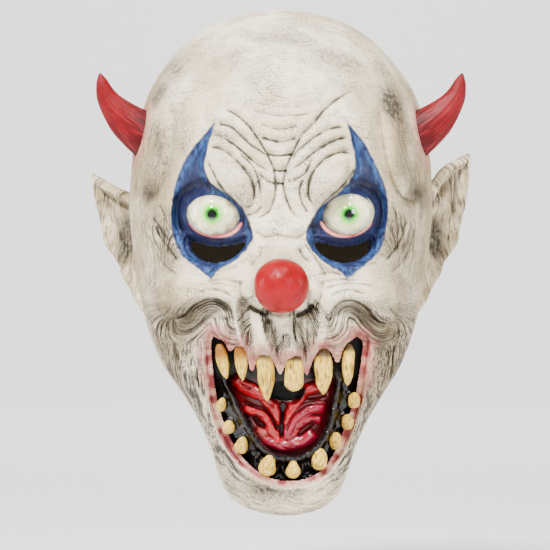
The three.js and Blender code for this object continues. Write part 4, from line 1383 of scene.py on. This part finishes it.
def make_nose(material):
    lift = np.linspace(0.02, np.pi - 0.02, 130)[:, None]
    turn = np.linspace(0, 2 * np.pi, 200, endpoint=False)[None]
    way = [np.sin(lift) * np.cos(turn), -np.cos(lift), np.sin(lift) * np.sin(turn)]
    way = np.stack(np.broadcast_arrays(*way), -1)
    dents = layered(51, *(way * 1.7).transpose(2, 0, 1), layers=3)
    radius = NOSE_RADIUS - 0.2 + 0.45 * dents
    x, y, z = (way * radius[..., None]).transpose(2, 0, 1)
    rings = np.stack([x, np.minimum(y + NOSE_AT[1], NOSE_BACK), z + NOSE_AT[2]], -1)
    # The ball is darker towards its back, where it meets the skin: painted shade.
    values = {"around": x / 60, "down": z / 9, "darkening": 0.35 * ramp(1.3, 2.2, lift)}
    finish_piece(lofted("nose", rings, values=values), material, "nose", "nose_ball")


# The right horn's middle line, x, y and z, from inside the head to its tip.
HORN_LINE = [(62, -30, -64), (78, -31, -56), (91, -32, -46), (100.5, -33, -34), (105, -34, -20)]


def make_horns(material):
    for side, word in ((-1, "left"), (1, "right")):
        line = smooth_line(HORN_LINE, step=0.5)
        length = lengths_along(line)
        share = np.linspace(0.17, 0.998, 110)
        at = np.stack([np.interp(share, length / length[-1], line[:, k]) for k in range(3)], -1)
        along_it = np.gradient(at, axis=0)
        along_it /= np.linalg.norm(along_it, axis=1, keepdims=True)
        ahead = np.array([0, 1.0, 0]) - along_it * along_it[:, 1:2]
        ahead /= np.linalg.norm(ahead, axis=1, keepdims=True)
        across = np.cross(along_it, ahead)
        turn = np.linspace(0, 2 * np.pi, 120, endpoint=False)[None]
        folded = np.abs(turn - np.pi)
        s = share[:, None]
        radius = 16 * (1 - s) ** 0.8 + 1.2 * np.sqrt((1 - s) * 12).clip(0, 1)
        grooves = 0.35 * noise(61, folded * 3, s * 4) + 0.35 * noise(62, folded * 8, s * 6)
        radius = radius * (1 + 0.05 * noise(63, folded, s * 5)) + grooves * ramp(0.95, 0.5, s)
        flare = 1 + 0.1 * ramp(0.32, 0.17, s)
        wide = (radius * flare * np.cos(turn))[..., None]
        deep = (0.85 * radius * flare * np.sin(turn))[..., None]
        rings = at[:, None] + across[:, None] * wide + ahead[:, None] * deep
        rings[..., 0] *= side
        darkening = ramp(0.66, 0.22, s) * (0.75 + 0.35 * np.cos(turn)) + 0.9 * ramp(0.97, 1.0, s) + 0.15
        values = {"around": folded / 2, "down": s * 3, "darkening": darkening}
        piece = lofted(f"devil_horn_{word}", rings, values=values)
        finish_piece(piece, material, "horn", f"horn_{word}")


EAR_MIDDLE = (14.0, -116.0)
EAR_ROOT = 80.0  # half the distance between the ears' roots
EAR_OUT, EAR_BACK = 0.75, 0.66  # how far an ear's plane goes outwards and back


def ear_outline(tip):
    """An ear's outline, in the ear's own plane, with its tip at a height."""
    top = [(-12, -100), (4, -91), (22, tip - 9), (39, tip - 0.6), (41, tip), (40.6, tip - 3), (38, -92)]
    rest = [(34, -106), (30, -119), (21, -132), (12, -145), (4, -157), (-4, -161), (-12, -150), (-14, -125)]
    return smooth_line(top + rest, closed=True)


def make_ears(material):
    for side, word, tip in ((-1, "left", -76.0), (1, "right", -64.0)):
        outline = ear_outline(tip)
        edge = polar(outline, EAR_MIDDLE, 360)
        share = np.concatenate([np.linspace(0.02, 0.8, 44), np.linspace(0.812, 1, 20)])
        places = np.array(EAR_MIDDLE) + share[:, None, None] * (edge - EAR_MIDDLE)
        u, z = places[..., 0], places[..., 1]
        inward = -outline_distance(outline, u.ravel(), z.ravel(), reach=20).reshape(u.shape)
        flow = 0.9 * noise(71 + side, u / 6, z / 12)
        rim = 3.4 * bell(inward - 2.8 - 0.5 * flow, 2.2) * ramp(-2, 6, u)
        concha = np.hypot((u - 17) / 8.5, (z + 115) / 17)
        bowl = -5.2 * ramp(1.25, 0.45, concha) + 1.6 * bell(concha - 1.35, 0.22)
        groove = -2.2 * bell(inward - 7.4 - flow, 2.0) * ramp(-110, -98, z)
        fold = 1.5 * bell(u - (9 + (z + 100) * -0.1), 3) * ramp(-112, -100, z)
        fine = 0.35 * noise(73, u / 1.4 + flow, z / 11) + 0.2 * noise(74, u / 0.8, z / 8)
        height = 1.6 + rim + bowl + groove + fold + fine
        round_off = np.sqrt(np.maximum(1 - ramp(0, 1, 1 - inward / 2.6) ** 2, 0))
        front = height * round_off
        back = -(5.2 + 0.8 * noise(75, u / 9, z / 9)) * round_off
        stack = np.concatenate([front, back[::-1]])
        uu, zz = np.concatenate([u, u[::-1]]), np.concatenate([z, z[::-1]])
        curl = 4.0 * ramp(16, 42, uu) ** 2
        x = side * (EAR_ROOT + EAR_OUT * uu + 0.8 * EAR_BACK * (stack + curl))
        y = EAR_BACK * uu - EAR_OUT * (stack + curl)
        rings = np.stack([x, y, zz], -1)
        shade = 0.9 * ramp(1.15, 0.5, concha) + 0.5 * bell(inward - 7.6, 2.2) * ramp(-112, -98, z)
        shade = shade + 0.9 * ramp(3, -6, u) * ramp(-96, -104, z)
        values = {
            "dark": np.concatenate([shade, np.zeros_like(shade)]),
            "shows": np.concatenate([np.ones_like(shade), np.full_like(shade, 0.2)]),
            "across": uu + curl,
            "down": zz,
            "side": float(side),
        }
        piece = lofted(f"bat_ear_{word}", rings, values=values)
        finish_piece(piece, material, "skin", f"ear_{word}")


GUM_EDGE = [
    (3, -189), (20, -189), (29, -195), (27, -209), (23, -224), (13, -234.5),
    (1, -236), (-9, -231), (-17, -219), (-24, -206), (-29, -195), (-16, -189),
]  # fmt: skip
GUM_ROOF = [(-20, -167.5), (0, -168.5), (20, -167.5)]  # the gum's top edge, behind the upper lip
GUM_MIDDLE = (2.0, -212.0)
GUM_SIDES = 520
GUM_LAP = 3.6  # how far the gum reaches behind the lips, and the tongue behind the gum


def make_gum(material):
    lips = np.concatenate([smooth_line(LIP_SIDES), GUM_ROOF])
    outer = polar(lips, GUM_MIDDLE, GUM_SIDES, GUM_LAP)
    inner = polar(smooth_line(GUM_EDGE, closed=True), GUM_MIDDLE, GUM_SIDES)
    v = np.linspace(0, 1, 56)[:, None, None]
    places = inner + (outer - inner) * v
    x, z = places[..., 0], places[..., 1]
    v = np.broadcast_to(v[..., 0], x.shape)
    reach = np.hypot(*(outer - inner).T)[None]
    run = v * reach
    low = ramp(-184, -196, z)
    ridge = 4.4 * bell(run - 3.0, 2.3) * low
    recess = -2.0 * bell(run - 0.62 * reach, 5.0) * low - 2.0 * (1 - low)
    wrinkles = 0.85 * noise(81, x / 1.9, z / 2.6) + 0.42 * noise(82, x / 1.0, z / 1.3)
    wrinkles = wrinkles * (0.2 + 1.0 * bell(run - 3.6, 3.0)) * low
    swell = np.zeros_like(x)
    for at, width, *_ in LOWER_TEETH:
        d = np.hypot(x - at[0], z - at[1])
        swell = swell + 1.2 * bell(d - width * 0.62, 1.4)
    depth = 6.3 - ridge - recess - wrinkles * 0.9 - swell
    depth = np.maximum(depth, 1.6 + 2.6 * ramp(0.72, 1.0, v))
    depth = depth + 5.5 * ramp(2.2, 0.0, run) ** 2
    depth = np.minimum(depth, 11.6)
    front = front_at(x, z) + depth
    back = front_at(x, z) + 12.6
    values = {"edge": ramp(0.75, 0.98, v), "dull": ramp(-197, -190, z)}
    finish_piece(slab("gum", x, z, front, back, 7, values), material, "gum", "gum_arch")


# The tongue's folds: points, width, height, and how far it is towards pink.
FOLDS = [
    ([(-27, -193.5), (-22.7, -197.5), (-17, -201), (-10, -204.5), (-4.6, -209.6), (-1.8, -217)],
     3.0, 5.2, 0.0),
    ([(-21.4, -210.6), (-16, -213.4), (-11, -214.6), (-7.6, -219), (-4.8, -225), (-2, -229.6)],
     2.5, 4.6, 0.05),
    ([(27, -197), (20, -199), (14, -201.4), (9, -206.4), (5.4, -212), (3.2, -219)], 2.7, 4.4, 0.1),
    ([(25.5, -211), (19, -210.6), (13.4, -212.6), (8.6, -217), (5, -223), (3.4, -228)], 2.9, 4.6, 0.75),
    ([(23, -218), (17, -217.6), (11, -219.8), (7.4, -224.6), (4.6, -229.4)], 2.2, 4.0, 0.55),
    ([(19.5, -225), (14.6, -228.4), (8, -231), (0, -231.8), (-7, -230)], 3.1, 4.4, 0.9),
    ([(-13.4, -223.2), (-10.6, -225.6), (-8, -228.4)], 2.6, 3.4, 0.6),
]  # fmt: skip
# Gaps with painted shade in them: points, width, depth, and how dark that painted shade is.
GAPS = [
    ([(0.8, -206), (0.5, -212), (0.2, -219), (0.2, -226.4)], 0.9, 2.6, 1.0),
    ([(1.6, -205), (1.3, -210)], 3.0, 1.6, 0.8),
    ([(1.2, -209), (0.7, -217)], 1.7, 1.4, 0.8),
    ([(-20, -208.6), (-14.6, -210.6), (-9.3, -212.4), (-5.4, -216.4), (-2.6, -222.6)], 0.9, 1.6, 0.9),
    ([(23.5, -208.6), (15.6, -209), (9.6, -212.4), (5.6, -217), (3, -223)], 0.7, 1.2, 0.6),
    ([(23.5, -203.6), (19.5, -204.6), (15.5, -205)], 1.5, 2.2, 0.75),
    ([(17.4, -219.6), (13.6, -222.4), (10.4, -225.6)], 1.2, 2.2, 0.75),
    ([(-14.6, -217), (-12.8, -219.6), (-10.4, -221)], 1.8, 2.4, 0.8),
    ([(-22, -198.6), (-17.6, -199.8)], 0.9, 0.9, 0.5),
]
THROAT = ((2.0, -201.5), (9.0, 5.6))  # its middle and its reach
TONGUE_RINGS = 90


def make_tongue(material):
    edge = polar(smooth_line(GUM_EDGE, closed=True), GUM_MIDDLE, GUM_SIDES, GUM_LAP)
    angles = np.linspace(-np.pi, np.pi, GUM_SIDES, endpoint=False)
    middle, reach = THROAT
    hole = np.array(middle) + np.array(reach) * np.stack([np.cos(angles), np.sin(angles)], -1)
    v = np.linspace(0, 1, TONGUE_RINGS)[:, None, None]
    places = hole + (edge - hole) * v
    x, z = (places[..., k].ravel() for k in (0, 1))
    v = np.repeat(v, GUM_SIDES)
    rise, pink, dark = (np.zeros_like(x) for _ in range(3))
    for points, width, height, rosy in FOLDS:
        at, d, share, _ = line_distance(smooth_line(points), x, z, 3 * width)
        d = d + 0.5 * noise(91, x[at] / 3, z[at] / 3)
        lump = 0.85 + 0.2 * noise(92, x[at] / 4, z[at] / 4)
        here = height * np.sqrt(np.maximum(1 - (d / (1.25 * width)) ** 2, 0)) * lump * ramp(0, 0.1, share)
        higher = here > rise[at]
        rise[at] = np.maximum(rise[at], here)
        pink[at] = np.where(higher, rosy, pink[at])
        ripple = 0.35 * noise(93, share * 14 + d, d / 1.2)
        rise[at] += ripple * (here > 0.5)
    for points, width, depth, shade in GAPS:
        at, d, share, _ = line_distance(smooth_line(points), x, z, 4 * width)
        rise[at] -= depth * bell(d, width)
        dark[at] = np.maximum(dark[at], shade * ramp(1.5 * width, 0.6 * width, d))
    throat = np.hypot((x - middle[0]) / reach[0], (z - middle[1]) / reach[1])
    # Painted shade round the throat's hole, across the top under the upper gum, and in the low places.
    dark = np.maximum(dark, ramp(1.5, 1.15, throat) * ramp(-211, -205, z))
    dark = np.maximum(dark, ramp(-198, -194, z) * ramp(26, 20, np.abs(x + 1)))
    dark = np.maximum(dark, 0.75 * ramp(2.2, 0.6, rise))
    pale = bell(np.hypot(x + 10.6, z + 225.4), 2.2)
    depth = 13.6 - rise * ramp(0.0, 0.1, v) * ramp(1.0, 0.86, v)
    level = front_at(x, z)
    fields = (x, z, level + depth, level + 15.6, pink, dark, pale)
    x, z, front, back, pink, dark, pale = (field.reshape(TONGUE_RINGS, GUM_SIDES) for field in fields)
    values = {"pink": pink, "dark": dark, "pale": pale}
    finish_piece(slab("tongue", x, z, front, back, 8, values), material, "tongue", "tongue_liner")


GAUZE = (26.0, 19.0)  # cut size, stretched behind the throat


def make_gauze(material):
    middle = (2.0, -203.0)
    u, v = np.meshgrid(np.linspace(-0.5, 0.5, 105), np.linspace(-0.5, 0.5, 77))
    x, z = middle[0] + GAUZE[0] * u, middle[1] + GAUZE[1] * v
    weave = 0.1 * np.sin(x * 5.2) * np.sin(z * 5.2)
    near = np.stack([x, front_at(x, z) + 16.6 + weave, z], -1)
    far = near + np.array([0, 0.35, 0])
    rows, columns = x.shape
    index = np.arange(rows * columns).reshape(rows, columns)
    face = np.stack([index[:-1, :-1], index[:-1, 1:], index[1:, 1:], index[1:, :-1]], -1).reshape(-1, 4)
    edge = np.concatenate([index[0], index[1:, -1], index[-1, -2::-1], index[-2:0:-1, 0]])
    total = rows * columns
    wall = np.stack([edge, edge + total, np.roll(edge, -1) + total, np.roll(edge, -1)], 1)
    points = np.concatenate([near.reshape(-1, 3), far.reshape(-1, 3)])
    piece = mesh_object("mouth_gauze", points, [face, face[:, ::-1] + total, wall])
    finish_piece(piece, material, "gauze", "throat_gauze")


# Upper teeth: root, tip, width, and how blunt, amber and dark-rooted each is.
UPPER_TEETH = [
    ((-34.5, -177.5), (-30.5, -195), 6.8, 0.0, 1.0, 0.0),
    ((-23.3, -178), (-21.2, -195.5), 7.4, 0.0, 0.9, 0.3),
    ((-9.5, -181), (-7.8, -207), 9.4, 0.0, 0.15, 0.8),
    ((7, -183), (7, -201.5), 10.6, 1.0, 0.0, 0.9),
    ((23.2, -180), (23.2, -203.5), 10.4, 0.0, 0.1, 1.0),
    ((37.7, -177.5), (36.8, -198.5), 7.2, 0.25, 0.05, 0.9),
]
# Lower teeth: middle, width, height, how far the top narrows, and how far it leans to +X.
LOWER_TEETH = [
    ((-34, -209.4), 6, 8, 0.3, 1.6),
    ((-29.4, -222), 7, 7.8, 0.15, 0.3),
    ((-22.6, -232), 8, 9.8, 0.3, 1.5),
    ((-8.4, -242.5), 10.8, 12.8, 0.5, 3.2),
    ((6.5, -244.3), 9, 12, 0.66, 0.2),
    ((21, -239.6), 9.7, 12.4, 0.2, 0.6),
    ((30.4, -229.6), 7.4, 10, 0.1, 0),
    ((37, -219.2), 7.2, 9.2, 0.1, 0),
    ((40.6, -207), 7, 9.4, 0.1, 0),
]
TOOTH_DEPTH = 3.2  # how far a tooth's middle lies under the outside
# Places from root to tip, and the half widths there as shares of the widest.
FANG = [0, 0.06, 0.16, 0.33, 0.55, 0.75, 0.9, 0.97, 1], [0.3, 0.62, 0.86, 1, 0.97, 0.76, 0.43, 0.22, 0.02]
PEG = [0, 0.06, 0.16, 0.35, 0.6, 0.85, 0.95, 0.985, 1], [0.3, 0.6, 0.82, 0.96, 1, 0.9, 0.64, 0.42, 0.02]
ROOT_RISE = 2.2  # how far an upper tooth goes on above the lip's edge


def tooth_body(name, start, end, wide, deep, seed, values):
    """A tooth round the line from start to end, both (x, z), with half widths at each place along it."""
    stations = len(wide)
    share = np.linspace(0, 1, stations)[:, None]
    turn = np.linspace(0, 2 * np.pi, 72, endpoint=False)[None]
    start, end = np.array(start, float), np.array(end, float)
    run = (end - start) / np.linalg.norm(end - start)
    across = np.array([run[1], -run[0]])
    folded = np.abs(turn - np.pi)
    ridges = 1 + 0.05 * noise(seed, folded * 3.2, share * 2.5)
    ridges = ridges + 0.035 * noise(seed + 1, folded * 8, share * 5)
    lumps = 1 + 0.09 * noise(seed + 2, np.cos(turn) * 1.6, np.sin(turn) * 1.6, share * 5)
    w = wide[:, None] * ridges * lumps * np.cos(turn)
    d = deep[:, None] * ridges * lumps * np.sin(turn)
    middle = start + (end - start) * share
    x = middle[:, :1] + across[0] * w
    z = middle[:, 1:] + across[1] * w
    y = (front_at(middle[:, 0], middle[:, 1]) + TOOTH_DEPTH)[:, None] - d
    values = dict(values, around=folded / (2 * np.pi), down=share * 2, seed=float(seed))
    return lofted(name, np.stack([x, y, z], -1), values=values)


def make_teeth(material):
    share = np.linspace(0.0, 1, 72)
    for number, (root, tip, width, blunt, amber, darkening) in enumerate(UPPER_TEETH, 1):
        root = (root[0], root[1] + ROOT_RISE)
        body = np.interp(share, *FANG) * (1 - blunt) + np.interp(share, *PEG) * blunt
        body = np.convolve(np.pad(body, 3, mode="edge"), np.ones(7) / 7, "valid")
        body[-1] = 0.02
        wide = body * width / 2
        values = {
            "amber": (amber * ramp(0.72, 0.1, share))[:, None],
            "root": (darkening * ramp(0.3, 0.08, share))[:, None],
        }
        piece = tooth_body(f"fang_upper_{number}", root, tip, wide, wide * 0.92, 100 + 5 * number, values)
        finish_piece(piece, material, "tooth", f"tooth_upper_{number}")
    turn = np.arccos(np.clip(1 - 2 * share, -1, 1))
    for number, (at, width, height, narrow, lean_over) in enumerate(LOWER_TEETH, 1):
        start = (at[0] + lean_over, at[1] + height / 2)
        end = (at[0] - 0.3 * lean_over, at[1] - height / 2)
        body = np.sin(turn) ** 0.85 * (1 - narrow * ramp(0.8, 0.0, share))
        wide = np.maximum(body, 0.02) * width / 2
        values = {"amber": 0.12 + 0.25 * (number > 6), "root": (0.5 * ramp(0.86, 1, share))[:, None]}
        piece = tooth_body(f"tooth_low_{number}", start, end, wide, wide * 0.9, 200 + 5 * number, values)
        finish_piece(piece, material, "tooth", f"tooth_lower_{number}")


def make_pads(material):
    """Foam pads in the CAD pads' places, with softened edges."""
    for node in ("crown_pad", "forehead_pad", "temple_pad_left", "temple_pad_right"):
        source = bpy.data.objects[node]
        name = "foam_" + node.replace("_pad", "")
        piece = link(bpy.data.objects.new(name, source.data.copy()))
        piece.data.materials.clear()
        remesh = piece.modifiers.new("remesh", "REMESH")
        remesh.mode = "VOXEL"
        remesh.voxel_size = 1.6 * MM
        soften = piece.modifiers.new("soften", "SMOOTH")
        soften.iterations = 14
        bpy.context.view_layer.update()
        graph = bpy.context.evaluated_depsgraph_get()
        made = bpy.data.meshes.new_from_object(piece.evaluated_get(graph))
        piece.modifiers.clear()
        piece.data = made
        piece.data.shade_smooth()
        finish_piece(piece, material, "foam", node)


# The floor, in metres.
FLOOR_HALF = 4.0
FLOOR_CURVE = 0.8
WALL_HIGH = 7.0


def make_floor():
    """A pale floor that curves up into a backdrop."""
    low = CAD_BOX[0][2] - FLOOR_DROP * MM
    bend = FLOOR_HALF - FLOOR_CURVE
    side_line = [(-FLOOR_HALF, low)]
    for a in np.linspace(0, math.pi / 2, 13):
        side_line.append((bend + FLOOR_CURVE * math.sin(a), low + FLOOR_CURVE * (1 - math.cos(a))))
    side_line.append((FLOOR_HALF, low + WALL_HIGH))
    rows = np.array([(x, y, z) for y, z in side_line for x in (-FLOOR_HALF, FLOOR_HALF)]) / MM
    k = np.arange(len(side_line) - 1) * 2
    faces = np.stack([k, k + 1, k + 3, k + 2], 1)
    floor = mesh_object("floor", rows, [faces])
    look = Look("pale_floor", 0.8)
    grain = look.noise(30.0, detail=3.0)
    floor.data.materials.append(look.paint(look.mix(grain, "f4f4f3", "fbfbfa")))


make_camera()
make_lights()
make_floor()
head_pieces(skin_look())
make_eyes(eye_look())
make_nose(red_look("nose_red", "7c050d", "92121b", "440c10", 0.32, 0.12))
make_horns(red_look("horn_red", "68080e", "80161c", "1c0608", 0.4, 0.12))
make_ears(ear_look())
make_gum(gum_look())
make_tongue(tongue_look())
make_gauze(gauze_look())
make_teeth(tooth_look())
make_pads(foam_look())
